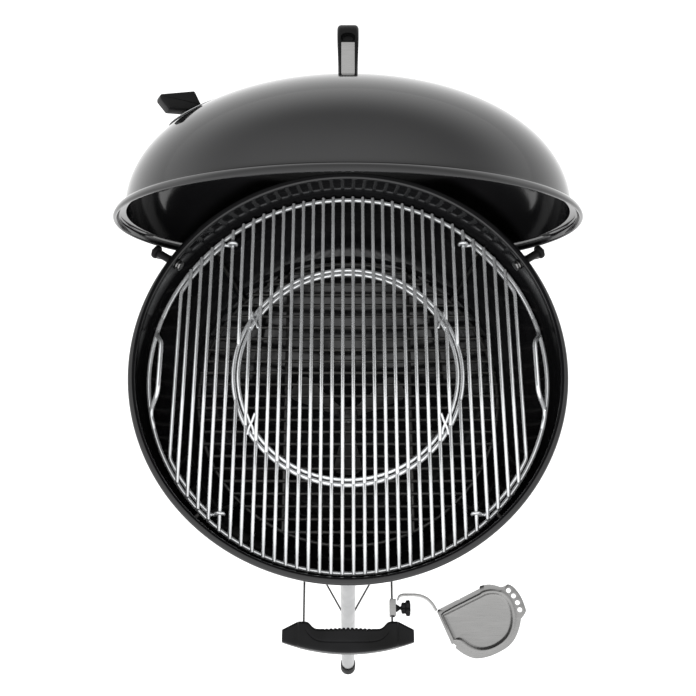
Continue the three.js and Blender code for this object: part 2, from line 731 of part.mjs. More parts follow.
// The sunken dish: rounded at its right, and drawn out to the tray's straight left side.
function dishOutline(scale) {
  const [x, y] = DISH_CENTRE;
  const outline = new THREE.Shape();
  const at = (dx, dy) => [x + dx * scale, y + dy * scale];
  outline.moveTo(...at(-53.5, 5));
  outline.lineTo(...at(-4, 28.5));
  outline.quadraticCurveTo(...at(7, 35), ...at(19, 31.5));
  outline.quadraticCurveTo(...at(34, 25), ...at(33.5, 3));
  outline.quadraticCurveTo(...at(32.5, -19), ...at(14, -29.5));
  outline.quadraticCurveTo(...at(-9, -43), ...at(-28, -26.5));
  outline.quadraticCurveTo(...at(-34, -22), ...at(-40.5, -24));
  return outline;
}

function probeTray() {
  const outline = trayOutline();
  const top = HANDLE_Z - 1.5 + TRAY_SHEET;
  const sheet = plate(outline, HANDLE_Z - 1.5, TRAY_SHEET);
  const holes = [[200, -290.6], [206, -297.2], [210.5, -305.4], [212.8, -314]].map((centre) => (
    plate(circlePoints(2.9, 10, centre), HANDLE_Z - 10, 20)
  ));
  const well = plate(dishOutline(0.97), HANDLE_Z - 10, 20);
  const tub = plate(dishOutline(1), HANDLE_Z - 4, 4 + top + 1.5 - HANDLE_Z);
  const hollow = plate(dishOutline(0.92), HANDLE_Z - 2, 10);
  return join([cut(sheet, [...holes, well]), tub.subtract(hollow)]);
}

// ---------------------------------------------------------------- lid rest and cradle

function sleeve(azimuth) {
  const along = (from, to, radius) => (
    rod(polar(from, azimuth, SLEEVE_Z), polar(to, azimuth, SLEEVE_Z), radius, 14)
  );
  const body = join([along(283.6, 317, 5.5), along(314, 320, 9.5)]);
  const bore = along(280, 325, 4.1);
  return body.subtract(bore);
}

function bowlBolt(azimuth) {
  const along = (from, to, radius, sides) => (
    rod(polar(from, azimuth, SLEEVE_Z), polar(to, azimuth, SLEEVE_Z), radius, sides)
  );
  return join([along(276, 288, BOLT_RADIUS, 10), along(274.6, 278.4, 6.5, 6)]);
}

// A point given in the stowed lid's own frame: turn about its axis, radius and height.
function onLid(radius, degrees, height) {
  const lean = new THREE.Euler(rad(LID_LEAN - 90), 0, 0);
  return polar(radius, degrees, height).applyEuler(lean).add(vec(...LID_CENTRE));
}

function cradleWire() {
  const ends = [SLEEVE_AZIMUTH, 180 - SLEEVE_AZIMUTH].map((azimuth) => [
    polar(290, azimuth, SLEEVE_Z), polar(316, azimuth, SLEEVE_Z), polar(323, azimuth, SLEEVE_Z - 1),
  ]);
  const hoop = [];
  const first = 27;
  for (let i = 0; i <= 16; i += 1) {
    const degrees = first + ((180 - 2 * first) * i) / 16;
    const depth = Math.sin((Math.PI * i) / 16);
    hoop.push(onLid(LID_RIM_RADIUS + 9 - 4 * depth, degrees, -12 + 20 * depth));
  }
  const samples = [...ends[0], ...hoop, ...ends[1].reverse()];
  return wire(polyline(samples), 3.6, samples.length - 1, 8);
}

// ---------------------------------------------------------------- lid, in its own frame

function domeHeight(radius) {
  return DOME_BASE + DOME_HEIGHT * (1 - (radius / DOME_RADIUS) ** CURVE_POWER) ** (1 / CURVE_POWER);
}

function domePoint(turn, inset) {
  const power = 2 / CURVE_POWER;
  return [
    turn === Math.PI / 2 ? 0 : (DOME_RADIUS - inset) * Math.cos(turn) ** power,
    DOME_BASE + (DOME_HEIGHT - inset) * Math.sin(turn) ** power,
  ];
}

// From the dome's foot up to its top.
function domeCurve(inset) {
  const steps = Array.from({ length: SHELL_STEPS + 1 }, (_, i) => i);
  return steps.map((i) => domePoint((Math.PI / 2) * (i / SHELL_STEPS), inset));
}

// The frame of the damper: its centre on the dome, and the dome's outward direction there.
function damperFrame() {
  const step = 0.5;
  const slope = (domeHeight(DAMPER_REACH + step) - domeHeight(DAMPER_REACH - step)) / (2 * step);
  const tilt = THREE.MathUtils.radToDeg(Math.atan(-slope));
  return { height: domeHeight(DAMPER_REACH), tilt };
}

// Moves a solid drawn about the origin, facing +Z, onto the dome at the damper.
function atDamper(body) {
  const { height, tilt } = damperFrame();
  return body.rotate([0, tilt, 0]).translate([DAMPER_REACH, 0, height]).rotate([0, 0, DAMPER_AZIMUTH]);
}

function ventHoles(radius) {
  return [0, 90, 180, 270].map((degrees) => {
    const centre = polar(21, degrees);
    return plate(circlePoints(radius, 10, [centre.x, centre.y]), -25, 50);
  });
}

function lidShell() {
  const rim = LID_RIM_RADIUS;
  const outside = [
    [rim - 4, 0], [rim, 1.5], [rim - 0.6, 5], [rim - 5, 10], [rim - 12, 11.5],
  ];
  const inside = [[rim - 8, 8.5], [rim - 6, 5], [rim - 6, 1]];
  const profile = [...domeCurve(SHEET).reverse(), ...inside, ...outside, ...domeCurve(0)];
  const shell = turnedSolid(profile, SHELL_SEGMENTS);
  const holes = [...ventHoles(9), plate(circlePoints(3.4, 12), -25, 50)];
  return cut(shell, holes.map(atDamper));
}

// The disc is bent a little, to follow the dome.
function damperDisc() {
  const flatDisc = cut(plate(circlePoints(DAMPER_RADIUS, 32), 0, 1.4), [
    ...ventHoles(9.5), plate(circlePoints(3.4, 12), -5, 10),
  ]);
  const bend = (point) => {
    point[2] += 1 - (point[0] ** 2 + point[1] ** 2) / DAMPER_SAG;
  };
  return atDamper(flatDisc.warp(bend));
}

function damperRivet() {
  const profile = [[0, -7], [6, -7], [6, -5], [3, -5], [3, 8], [0, 8]];
  return atDamper(turnedSolid(profile, 16));
}

// The black tab stands over the disc's middle and leans toward the rim; its outline is in length and height.
function damperTab() {
  const outline = [[-4.5, 4.6], [9.5, 4.6], [31.8, 15], [34.4, 31.6], [-5, 20.2]];
  const shape = new THREE.Shape(flat(outline));
  const geometry = new THREE.ExtrudeGeometry(shape, { depth: 18, ...rounded(2, 1) });
  const body = solid(geometry.rotateX(Math.PI / 2).translate(0, 9, 0));
  const bore = rod(vec(0, 0, 0), vec(0, 0, 8.3), 3.3, 16);
  return atDamper(body.subtract(bore));
}

const HANDLE_HALF = 70;
const HANDLE_TOP = DOME_BASE + DOME_HEIGHT + 78;

function lidHandleOutline() {
  const foot = DOME_BASE + DOME_HEIGHT - 1.5;
  const outline = new THREE.Shape();
  outline.moveTo(HANDLE_HALF - 16, foot);
  outline.lineTo(HANDLE_HALF - 4, foot);
  outline.lineTo(HANDLE_HALF, HANDLE_TOP - 30);
  outline.quadraticCurveTo(HANDLE_HALF + 2, HANDLE_TOP - 4, HANDLE_HALF - 20, HANDLE_TOP - 1);
  outline.quadraticCurveTo(0, HANDLE_TOP + 1, 20 - HANDLE_HALF, HANDLE_TOP - 1);
  outline.quadraticCurveTo(-HANDLE_HALF - 2, HANDLE_TOP - 4, -HANDLE_HALF, HANDLE_TOP - 30);
  outline.lineTo(4 - HANDLE_HALF, foot);
  outline.lineTo(16 - HANDLE_HALF, foot);
  outline.lineTo(18 - HANDLE_HALF, HANDLE_TOP - 36);
  outline.quadraticCurveTo(20 - HANDLE_HALF, HANDLE_TOP - 26, 32 - HANDLE_HALF, HANDLE_TOP - 25);
  outline.lineTo(HANDLE_HALF - 32, HANDLE_TOP - 25);
  outline.quadraticCurveTo(HANDLE_HALF - 20, HANDLE_TOP - 26, HANDLE_HALF - 18, HANDLE_TOP - 36);
  return outline;
}

// Stands an outline drawn in (Y, Z) up, with its thickness across X.
function standing(outline, width) {
  const edge = 3;
  const depth = width - 2 * edge;
  const geometry = new THREE.ExtrudeGeometry(outline, { depth, curveSegments: 6, ...rounded(edge, 2) });
  geometry.translate(0, 0, -depth / 2).rotateX(Math.PI / 2).rotateZ(Math.PI / 2);
  return solid(geometry);
}

function strapPath(offset) {
  const foot = DOME_BASE + DOME_HEIGHT - 1;
  return [
    [HANDLE_HALF - 30, foot], [HANDLE_HALF - 4 + offset, foot], [HANDLE_HALF - 0.6 + offset, HANDLE_TOP - 27],
  ];
}

// The polished strap: a bent strip up the outside of each end of the handle, with a foot on the dome.
function handleStrap(end) {
  const outer = strapPath(1.2);
  const inner = strapPath(-1.2).map(([y, z], i) => (i < 2 ? [y, z + 2.4] : [y, z]));
  const outline = [...outer, ...inner.reverse()];
  const shape = new THREE.Shape(flat(outline.map(([y, z]) => [end * y, z])));
  const geometry = new THREE.ExtrudeGeometry(shape, { depth: 17, bevelEnabled: false });
  geometry.translate(0, 0, -8.5).rotateX(Math.PI / 2).rotateZ(Math.PI / 2);
  return solid(geometry);
}

// The grip is widest along its top and narrows toward its feet.
function lidHandleGrip() {
  const foot = DOME_BASE + DOME_HEIGHT;
  const taper = (point) => {
    const rise = Math.min(Math.max((point[2] - foot) / (HANDLE_TOP - 25 - foot), 0), 1);
    point[0] *= 0.8 + 0.2 * rise;
  };
  const body = standing(lidHandleOutline(), 27).warp(taper);
  const channels = [-1, 1].map((end) => {
    const top = HANDLE_TOP - 26.5;
    const foot = DOME_BASE + DOME_HEIGHT - 6;
    const outline = [
      [HANDLE_HALF - 32, foot], [HANDLE_HALF + 10, foot], [HANDLE_HALF + 10, top],
      [HANDLE_HALF - 3.2, top], [HANDLE_HALF - 5.8, foot + 8], [HANDLE_HALF - 32, foot + 8],
    ];
    const shape = new THREE.Shape(flat(outline.map(([y, z]) => [end * y, z])));
    const geometry = new THREE.ExtrudeGeometry(shape, { depth: 18, bevelEnabled: false });
    return solid(geometry.translate(0, 0, -9).rotateX(Math.PI / 2).rotateZ(Math.PI / 2));
  });
  return cut(body, channels);
}

function lidPieces() {
  const lid = new THREE.Group();
  lid.position.set(...LID_CENTRE);
  lid.rotation.x = rad(LID_LEAN - 90);
  lid.add(named('lid_shell', lidShell(), enamel()));
  lid.add(named('lid_handle_grip', lidHandleGrip(), nylon()));
  lid.add(named('lid_handle_strap_top', handleStrap(-1), stainless()));
  lid.add(named('lid_handle_strap_bottom', handleStrap(1), stainless()));
  lid.add(named('lid_damper_disc', damperDisc(), aluminium()));
  lid.add(named('lid_damper_tab', damperTab(), nylon()));
  lid.add(named('lid_damper_rivet', damperRivet(), stainless()));
  return lid;
}

// ---------------------------------------------------------------- the grill

const LEVER_AZIMUTH = 210;

function bowlPieces() {
  const right = SLEEVE_AZIMUTH;
  const left = 180 - SLEEVE_AZIMUTH;
  const pieces = [
    named('bowl', bowlBody(), enamel()),
    named('lid_rest_sleeve_right', sleeve(right), nylon()),
    named('lid_rest_sleeve_left', sleeve(left), nylon()),
    named('lid_rest_bolt_right', bowlBolt(right), stainless()),
    named('lid_rest_bolt_left', bowlBolt(left), stainless()),
    named('lid_cradle_wire', cradleWire(), blackWire()),
  ];
  BRACKET_AZIMUTHS.forEach((azimuth, i) => {
    pieces.push(named(`grate_bracket_${i + 1}`, grateBracket(azimuth), stainless()));
  });
  return pieces;
}

function gratePieces() {
  return [
    named('cooking_grate', cookingGrate(), plated()),
    named('grate_flap_right', grateFlap(1), plated()),
    named('grate_flap_left', grateFlap(-1), plated()),
    named('grate_insert', grateInsert(), plated()),
    named('charcoal_grate', charcoalGrate(), stainless()),
  ];
}

function ashPieces() {
  return [
    named('sweeper_spindle', sweeperSpindle(), stainless()),
    named('vent_blade_1', ventBlade(30), stainless()),
    named('vent_blade_2', ventBlade(150), stainless()),
    named('vent_blade_3', ventBlade(270), stainless()),
    named('sweeper_lever', leverBar(LEVER_AZIMUTH), stainless()),
    named('sweeper_lever_grip', leverGrip(LEVER_AZIMUTH), nylon()),
    named('ash_ring', ashRing(LEVER_AZIMUTH), aluminium()),
    named('ash_pan', ashPan(), aluminium()),
    named('ash_pan_bail', ashBail(), plated()),
  ];
}

function standPieces() {
  const pieces = Object.entries(LEG_AZIMUTHS).map(([name, azimuth]) => (
    named(`leg_socket_${name}`, legSocket(azimuth), enamel())
  ));
  const rear = (azimuth) => legTube(azimuth, WHEEL_RADIUS - 17).subtract(axleHole(AXLE_RADIUS + 0.4));
  pieces.push(named('leg_front', legTube(LEG_AZIMUTHS.front, 8), aluminium()));
  pieces.push(named('leg_rear_right', rear(LEG_AZIMUTHS.rear_right), aluminium()));
  pieces.push(named('leg_rear_left', rear(LEG_AZIMUTHS.rear_left), aluminium()));
  pieces.push(named('foot_cap', footCap(LEG_AZIMUTHS.front), nylon()));
  pieces.push(named('axle', cylinderX(AXLE_RADIUS, -320, 320, AXLE_Y, WHEEL_RADIUS, 16), stainless()));
  pieces.push(named('bottom_rack', bottomRack(), blackWire()));
  for (const [name, side] of [['right', 1], ['left', -1]]) {
    pieces.push(named(`tyre_${name}`, tyre(side * WHEEL_X), rubber()));
    pieces.push(named(`wheel_rim_${name}`, wheelRim(side * WHEEL_X), nylon()));
    pieces.push(named(`hub_cap_${name}`, hubCap(side * (WHEEL_X + 20.3), side), stainless()));
  }
  return pieces;
}

function handlePieces() {
  return [
    named('handle_arm_right', handleArm(1), blackWire()),
    named('handle_arm_left', handleArm(-1), blackWire()),
    named('handle_grip', handleGrip(), nylon()),
    named('tray_clamp', trayClamp(), stainless()),
    named('thumb_knob', thumbKnob(), nylon()),
    named('tray_arm', trayArm(), stainless()),
    named('probe_tray', probeTray(), stainless()),
  ];
}

const group = new THREE.Group();
const grill = new THREE.Group();
grill.position.y = -BOX_CENTRE_Y;
grill.add(...bowlPieces(), ...gratePieces(), ...ashPieces());
grill.add(...standPieces(), ...handlePieces(), lidPieces());
group.add(grill);

export default group;
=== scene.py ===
import json
import math

import bmesh
import bpy
from mathutils import Matrix, Vector
from mathutils.geometry import tessellate_polygon


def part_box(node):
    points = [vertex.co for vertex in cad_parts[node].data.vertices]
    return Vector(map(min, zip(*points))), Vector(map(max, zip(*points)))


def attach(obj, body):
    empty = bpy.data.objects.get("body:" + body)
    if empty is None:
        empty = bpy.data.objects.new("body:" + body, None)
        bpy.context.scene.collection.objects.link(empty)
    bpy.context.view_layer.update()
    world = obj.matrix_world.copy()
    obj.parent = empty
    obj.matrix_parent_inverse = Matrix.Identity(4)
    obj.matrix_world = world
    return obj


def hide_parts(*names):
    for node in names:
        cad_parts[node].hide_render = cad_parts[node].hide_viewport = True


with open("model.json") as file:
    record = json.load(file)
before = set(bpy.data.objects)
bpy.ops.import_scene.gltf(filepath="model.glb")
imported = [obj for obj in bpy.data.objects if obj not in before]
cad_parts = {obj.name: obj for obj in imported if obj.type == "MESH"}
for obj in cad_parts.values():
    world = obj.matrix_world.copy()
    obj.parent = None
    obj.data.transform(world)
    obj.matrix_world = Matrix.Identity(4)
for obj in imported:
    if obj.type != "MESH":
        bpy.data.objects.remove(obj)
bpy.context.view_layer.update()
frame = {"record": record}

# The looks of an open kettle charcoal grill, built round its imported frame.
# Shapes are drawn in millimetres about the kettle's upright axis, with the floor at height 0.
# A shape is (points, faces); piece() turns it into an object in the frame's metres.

MM = 0.001


# ---------------------------------------------------------------- sizes taken from the frame

def box_mm(node):
    """Lowest and highest corner of a CAD node, in millimetres from the frame's origin."""
    low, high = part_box(node)
    return low / MM, high / MM


def middle_mm(node):
    """Middle of a CAD node's box, in millimetres about the kettle's axis."""
    low, high = box_mm(node)
    return (low + high) / 2 - Vector((0, AXIS_Y, 0))


BOWL_LOW, BOWL_HIGH = box_mm("bowl")
AXIS_Y = (BOWL_LOW.y + BOWL_HIGH.y) / 2     # the kettle's axis, from the frame's origin
RIM_Z = BOWL_HIGH.z
LIP_RADIUS = BOWL_HIGH.x
BOWL_BOTTOM = BOWL_LOW.z
WHEEL = middle_mm("tyre_right")
WHEEL_RADIUS = WHEEL.z
AXLE_END = box_mm("axle")[1].x

TO_FRAME = Matrix.Scale(MM, 4) @ Matrix.Translation((0, AXIS_Y, 0))

# ---------------------------------------------------------------- other driving sizes

LIP_HEIGHT = 9
BOWL_RADIUS = LIP_RADIUS - 7.6
BOWL_DEPTH = RIM_Z - LIP_HEIGHT - BOWL_BOTTOM
SHEET = 2
CURVE_POWER = 2.15
SHELL_STEPS = 56
FINE = 180

GRATE_Z = 765
GRATE_RADIUS = 270
RING_WIRE = 3
ROD_WIRE = 2.5
ROD_PITCH = 14.3
MAIN_RODS = 12
FLAP_RODS = 4
ROD_RISE = 4.6
FLAP_RISE = 5.3
FRAME_RISE = 1.5
FLAP_SIDE_X = 234
FLAP_ARC_RADIUS = 263
HOLE_RADIUS = 155.8
INSERT_RADIUS = 148.8
HINGE_X = (MAIN_RODS - 0.5) * ROD_PITCH

COAL_GRATE_Z = 667
COAL_GRATE_RADIUS = 216
COAL_ROD_PITCH = 18
COAL_RODS = 23
COAL_RIB_X = 90
BRACKET_AZIMUTHS = (45, 135, 225, 315)

LEG_RADIUS = 12
LEG_WALL = 1.6
FOOT_REACH = 322
LEG_SPLAY = 0.232
LEG_TOP_Z = 604
LEG_AZIMUTHS = {"front": -90, "rear_right": 30, "rear_left": 150}
RACK_Z = 241
RACK_WIRE = 1.6
RACK_PITCH = 40

LID_CENTRE = Vector((0, 152.2, 890.4))
LID_LEAN = 17.7
LID_RIM_RADIUS = 298
DOME_RADIUS = 284
DOME_BASE = 10
DOME_HEIGHT = 165
DAMPER_REACH = 203
DAMPER_AZIMUTH = 203
DAMPER_RADIUS = 38
DAMPER_BEND = 600
LID_HANDLE_HALF = 70
LID_GRIP_HALF = 13.5
LID_GRIP_ROUND = 9
LID_HANDLE_TOP = DOME_BASE + DOME_HEIGHT + 78

HANDLE_Z = 765
HANDLE_ARM_X = 54.5
HANDLE_ARM_HALF = 8
HANDLE_END_X = 81
CLAMP_Y = middle_mm("tray_clamp").y
DISH_CENTRE = Vector((170, -326))
SLEEVE_Z = 793
SLEEVE_AZIMUTHS = {"right": 32.5, "left": 147.5}

SPINDLE_RADIUS = 5
BLADE_REACH = 96
LEVER_AZIMUTH = 210
ASH_RING_RADIUS = 112
ASH_PAN_RADIUS = 122
ASH_PAN_TOP = 572
ASH_PAN_BOTTOM = 442
BAIL_DROP = 150


# ---------------------------------------------------------------- points and outlines

def polar(radius, degrees, z=0.0):
    angle = math.radians(degrees)
    return Vector((radius * math.cos(angle), radius * math.sin(angle), z))


def circle(radius, count, z=0.0, centre=(0.0, 0.0)):
    middle = Vector((centre[0], centre[1], 0))
    return [middle + polar(radius, 360 * i / count, z) for i in range(count)]


def half_chord(radius, x):
    return math.sqrt(max(radius ** 2 - x ** 2, 0))


def arc(centre, radii, start, end, steps):
    """Points on an ellipse's arc, from one angle in degrees to another."""
    points = []
    for i in range(steps + 1):
        angle = math.radians(start + (end - start) * i / steps)
        points.append((centre[0] + radii[0] * math.cos(angle), centre[1] + radii[1] * math.sin(angle)))
    return points


def ease(share):
    """0 to 1 with level ends."""
    share = min(max(share, 0.0), 1.0)
    return share * share * (3 - 2 * share)


def along_knots(knots, x):
    """A smooth value at x, through (x, value) knots in rising order."""
    for (x0, v0), (x1, v1) in zip(knots, knots[1:]):
        if x <= x1:
            return v0 + (v1 - v0) * ease((x - x0) / (x1 - x0))
    return knots[-1][1]


class Pen:
    """Draws a flat outline of straight lines and bends."""

    def __init__(self, x, y):
        self.points = [Vector((x, y))]

    def line(self, x, y):
        self.points.append(Vector((x, y)))
        return self

    def bend(self, control_x, control_y, x, y, steps=10):
        start, control, end = self.points[-1], Vector((control_x, control_y)), Vector((x, y))
        for i in range(1, steps + 1):
            t = i / steps
            self.points.append(start * (1 - t) ** 2 + control * (2 * t * (1 - t)) + end * t ** 2)
        return self


def softened(corners, reach, steps=5):
    """A closed outline whose corners are rounded, each starting at a reach from the corner."""
    count = len(corners)
    points = []
    for i in range(count):
        corner = Vector(corners[i])
        before, after = Vector(corners[i - 1]) - corner, Vector(corners[(i + 1) % count]) - corner
        start = corner + before.normalized() * min(reach, before.length * 0.49)
        end = corner + after.normalized() * min(reach, after.length * 0.49)
        for k in range(steps + 1):
            t = k / steps
            points.append(start * (1 - t) ** 2 + corner * (2 * t * (1 - t)) + end * t ** 2)
    return points


def bent(corners, reach, steps=6):
    """An open path that runs straight between corners and turns each with a bend."""
    path = [Vector(corners[0])]
    for i in range(1, len(corners) - 1):
        corner = Vector(corners[i])
        before, after = Vector(corners[i - 1]) - corner, Vector(corners[i + 1]) - corner
        start = corner + before.normalized() * min(reach, before.length * 0.49)
        end = corner + after.normalized() * min(reach, after.length * 0.49)
        for k in range(steps + 1):
            t = k / steps
            path.append(start * (1 - t) ** 2 + corner * (2 * t * (1 - t)) + end * t ** 2)
    path.append(Vector(corners[-1]))
    return path


def turns_left(outline):
    area = sum(a.x * b.y - b.x * a.y for a, b in zip(outline, outline[1:] + outline[:1]))
    return area > 0


def offset(outline, distance):
    """A closed outline moved outward, corner by corner; a hole's outline turns right."""
    count = len(outline)
    moved_points = []
    for i, point in enumerate(outline):
        before = (point - outline[i - 1]).normalized()
        after = (outline[(i + 1) % count] - point).normalized()
        normal = Vector((before.y + after.y, -before.x - after.x)).normalized()
        stretch = 1 / max(0.5, normal.dot(Vector((before.y, -before.x))))
        moved_points.append(point + normal * distance * stretch)
    return moved_points


# ---------------------------------------------------------------- shapes

def band(lower, upper):
    """Faces between two rings of point numbers; a ring of one point is a pole."""
    count = max(len(lower), len(upper))
    faces = []
    for i in range(count):
        j = (i + 1) % count
        if len(lower) == 1:
            faces.append((lower[0], upper[j], upper[i]))
        elif len(upper) == 1:
            faces.append((lower[i], lower[j], upper[0]))
        else:
            faces.append((lower[i], lower[j], upper[j], upper[i]))
    return faces


def skin(rings, closed=False, capped=True):
    """A shape from rings of points, each joined to the next."""
    points, numbers, faces = [], [], []
    for ring in rings:
        numbers.append(list(range(len(points), len(points) + len(ring))))
        points.extend(ring)
    for lower, upper in zip(numbers, numbers[1:]):
        faces += band(lower, upper)
    if closed:
        faces += band(numbers[-1], numbers[0])
    elif capped:
        for end in (numbers[0], numbers[-1]):
            if len(end) > 1:
                faces.append(tuple(end))
    return points, faces


def joined(shapes):
    points, faces = [], []
    for more_points, more_faces in shapes:
        start = len(points)
        points.extend(more_points)
        faces.extend(tuple(start + i for i in face) for face in more_faces)
    return points, faces


def moved(shape, matrix):
    points, faces = shape
    return [matrix @ Vector(point) for point in points], faces


def turned(profile, segments=FINE):
    """A (radius, height) profile turned about Z. One that starts on the axis ends there."""
    rings = []
    for radius, height in profile:
        on_axis = radius < 1e-6
        rings.append([Vector((0, 0, height))] if on_axis else circle(radius, segments, height))
    return skin(rings, closed=profile[0][0] > 1e-6)


def ring_round(point, along, side, radius, sides):
    other = along.cross(side)
    angles = (2 * math.pi * i / sides for i in range(sides))
    return [point + side * (radius * math.cos(a)) + other * (radius * math.sin(a)) for a in angles]


def path_frames(path, closed):
    """Each point of a path with its direction and a side direction that twists as little as it can."""
    count = len(path)
    found = []
    side, previous = None, None
    for i, point in enumerate(path):
        ahead = path[(i + 1) % count] if closed else path[min(i + 1, count - 1)]
        behind = path[i - 1] if closed else path[max(i - 1, 0)]
        along = (ahead - behind).normalized()
        if side is None:
            side = along.orthogonal().normalized()
        else:
            side = previous.rotation_difference(along) @ side
        side = (side - along * side.dot(along)).normalized()
        found.append((point, along, side))
        previous = along
    return found


def wire(path, radius, sides=12, closed=False):
    """A round wire along a path, with domed ends."""
    frames = path_frames([Vector(point) for point in path], closed)
    rings = [ring_round(point, along, side, radius, sides) for point, along, side in frames]
    if closed:
        return skin(rings, closed=True)
    first, last = [], []
    for degrees in (90, 60, 30):
        rise, width = radius * math.sin(math.radians(degrees)), radius * math.cos(math.radians(degrees))
        for (point, along, side), way, rings_there in ((frames[0], -1, first), (frames[-1], 1, last)):
            centre = point + along * (way * rise * 0.7)
            there = [centre] if degrees == 90 else ring_round(centre, along, side, width, sides)
            rings_there.append(there)
    return skin(first + rings + last[::-1])


def hoop(radius, wire_radius, z, centre=(0.0, 0.0), count=144):
    return wire(circle(radius, count, z, centre), wire_radius, closed=True)


def slab(outline, low, high, edge=0.8, holes=(), steps=3):
    """A flat outline given thickness, with its edges rounded inside it."""
    loops = [outline if turns_left(outline) else outline[::-1]]
    loops += [hole[::-1] if turns_left(hole) else hole for hole in holes]
    points, faces, lowest, highest = [], [], [], []
    for loop in loops:
        rings = []
        for end, start_z, way in (("low", low, 1), ("high", high, -1)):
            turn_steps = range(steps + 1) if end == "low" else range(steps, -1, -1)
            for k in turn_steps:
                angle = math.pi / 2 * k / steps
                inset = edge * (1 - math.sin(angle))
                z = start_z + way * edge * (1 - math.cos(angle))
                rings.append([Vector((p.x, p.y, z)) for p in offset(loop, -inset)])
        start = len(points)
        more_points, more_faces = skin(rings, capped=False)
        points += more_points
        faces += [tuple(start + i for i in face) for face in more_faces]
        lowest.append((start, rings[0]))
        highest.append((start + len(more_points) - len(loop), rings[-1]))
    for level in (lowest, highest):
        faces += cap(level)
    return points, faces


def cap(level):
    """Faces that close one end of a slab, round its holes."""
    numbers = [start + i for start, ring in level for i in range(len(ring))]
    if len(level) == 1:
        return [tuple(numbers)]
    triangles = tessellate_polygon([ring for _, ring in level])
    return [tuple(numbers[i] for i in triangle) for triangle in triangles]


def draped(outline, place, low, high, rings=6):
    """A sheet whose outline, in (u, v), is laid on a curved surface by place(u, v, height)."""
    shares = [i / rings for i in range(1, rings + 1)]
    under = [[place(p.x * s, p.y * s, low) for p in outline] for s in shares]
    over = [[place(p.x * s, p.y * s, high) for p in outline] for s in reversed(shares)]
    return skin([[place(0, 0, low)], *under, *over, [place(0, 0, high)]])


# Turns a shape drawn in X and Y to stand in Y and Z, with its thickness across X.
STANDING = Matrix(((0, 0, 1, 0), (1, 0, 0, 0), (0, 1, 0, 0), (0, 0, 0, 1)))
TO_X_AXIS = Matrix.Rotation(math.radians(90), 4, "Y")


# ---------------------------------------------------------------- materials

def new_material(name):
    made = bpy.data.materials.new(name)
    made.use_nodes = True
    tree = made.node_tree
    return made, tree, tree.nodes["Principled BSDF"]


def add_noise(tree, scale, detail=3.0, stretch=(1, 1, 1)):
    """A noise value over the piece's own space; scale counts features in a metre."""
    coordinates = tree.nodes.new("ShaderNodeTexCoord")
    mapping = tree.nodes.new("ShaderNodeMapping")
    mapping.inputs["Scale"].default_value = stretch
    noise = tree.nodes.new("ShaderNodeTexNoise")
    noise.inputs["Scale"].default_value = scale
    noise.inputs["Detail"].default_value = detail
    tree.links.new(coordinates.outputs["Object"], mapping.inputs["Vector"])
    tree.links.new(mapping.outputs["Vector"], noise.inputs["Vector"])
    return noise.outputs["Fac"]


def add_range(tree, value, source, target, smooth=False):
    """A value spread from one range, as (low, high), to another."""
    spread = tree.nodes.new("ShaderNodeMapRange")
    if smooth:
        spread.interpolation_type = "SMOOTHSTEP"
    spread.inputs["From Min"].default_value, spread.inputs["From Max"].default_value = source
    spread.inputs["To Min"].default_value, spread.inputs["To Max"].default_value = target
    tree.links.new(value, spread.inputs["Value"])
    return spread.outputs["Result"]


def drive_roughness(tree, shader, value, low, high):
    tree.links.new(add_range(tree, value, (0.3, 0.7), (low, high)), shader.inputs["Roughness"])


def drive_colour(tree, shader, value, dark, light):
    ramp = tree.nodes.new("ShaderNodeValToRGB")
    ramp.color_ramp.elements[0].position = 0.3
    ramp.color_ramp.elements[0].color = (*dark, 1)
    ramp.color_ramp.elements[1].position = 0.7
    ramp.color_ramp.elements[1].color = (*light, 1)
    tree.links.new(value, ramp.inputs["Fac"])
    tree.links.new(ramp.outputs["Color"], shader.inputs["Base Color"])


def drive_bump(tree, shader, value, strength, distance):
    bump = tree.nodes.new("ShaderNodeBump")
    bump.inputs["Strength"].default_value = strength
    bump.inputs["Distance"].default_value = distance
    tree.links.new(value, bump.inputs["Height"])
    tree.links.new(bump.outputs["Normal"], shader.inputs["Normal"])


def black_enamel():
    """Glass-smooth porcelain enamel, with a trace of ripple."""
    made, tree, shader = new_material("black_enamel")
    shader.inputs["IOR"].default_value = 1.5
    drive_colour(tree, shader, add_noise(tree, 6), (0.0022, 0.0022, 0.0024), (0.0040, 0.0040, 0.0043))
    drive_roughness(tree, shader, add_noise(tree, 14), 0.05, 0.10)
    drive_bump(tree, shader, add_noise(tree, 160, 2.0), 0.05, 0.0002)
    return made


def plated_wire():
    """Bright plating on drawn wire."""
    made, tree, shader = new_material("plated_wire")
    shader.inputs["Metallic"].default_value = 0.78
    drive_colour(tree, shader, add_noise(tree, 40), (0.56, 0.57, 0.58), (0.68, 0.69, 0.70))
    drive_roughness(tree, shader, add_noise(tree, 90), 0.12, 0.20)
    drive_bump(tree, shader, add_noise(tree, 700), 0.06, 0.0002)
    return made


def grate_steel():
    """Plain steel wire in a very dark grey."""
    made, tree, shader = new_material("grate_steel")
    shader.inputs["Metallic"].default_value = 1.0
    drive_colour(tree, shader, add_noise(tree, 30), (0.07, 0.069, 0.067), (0.12, 0.118, 0.115))
    drive_roughness(tree, shader, add_noise(tree, 70), 0.42, 0.56)
    drive_bump(tree, shader, add_noise(tree, 600), 0.10, 0.0003)
    return made


def satin_aluminium():
    made, tree, shader = new_material("satin_aluminium")
    shader.inputs["Metallic"].default_value = 1.0
    drive_colour(tree, shader, add_noise(tree, 12), (0.29, 0.293, 0.296), (0.34, 0.343, 0.346))
    drive_roughness(tree, shader, add_noise(tree, 50), 0.28, 0.40)
    drive_bump(tree, shader, add_noise(tree, 1200, 2.0), 0.06, 0.0001)
    return made


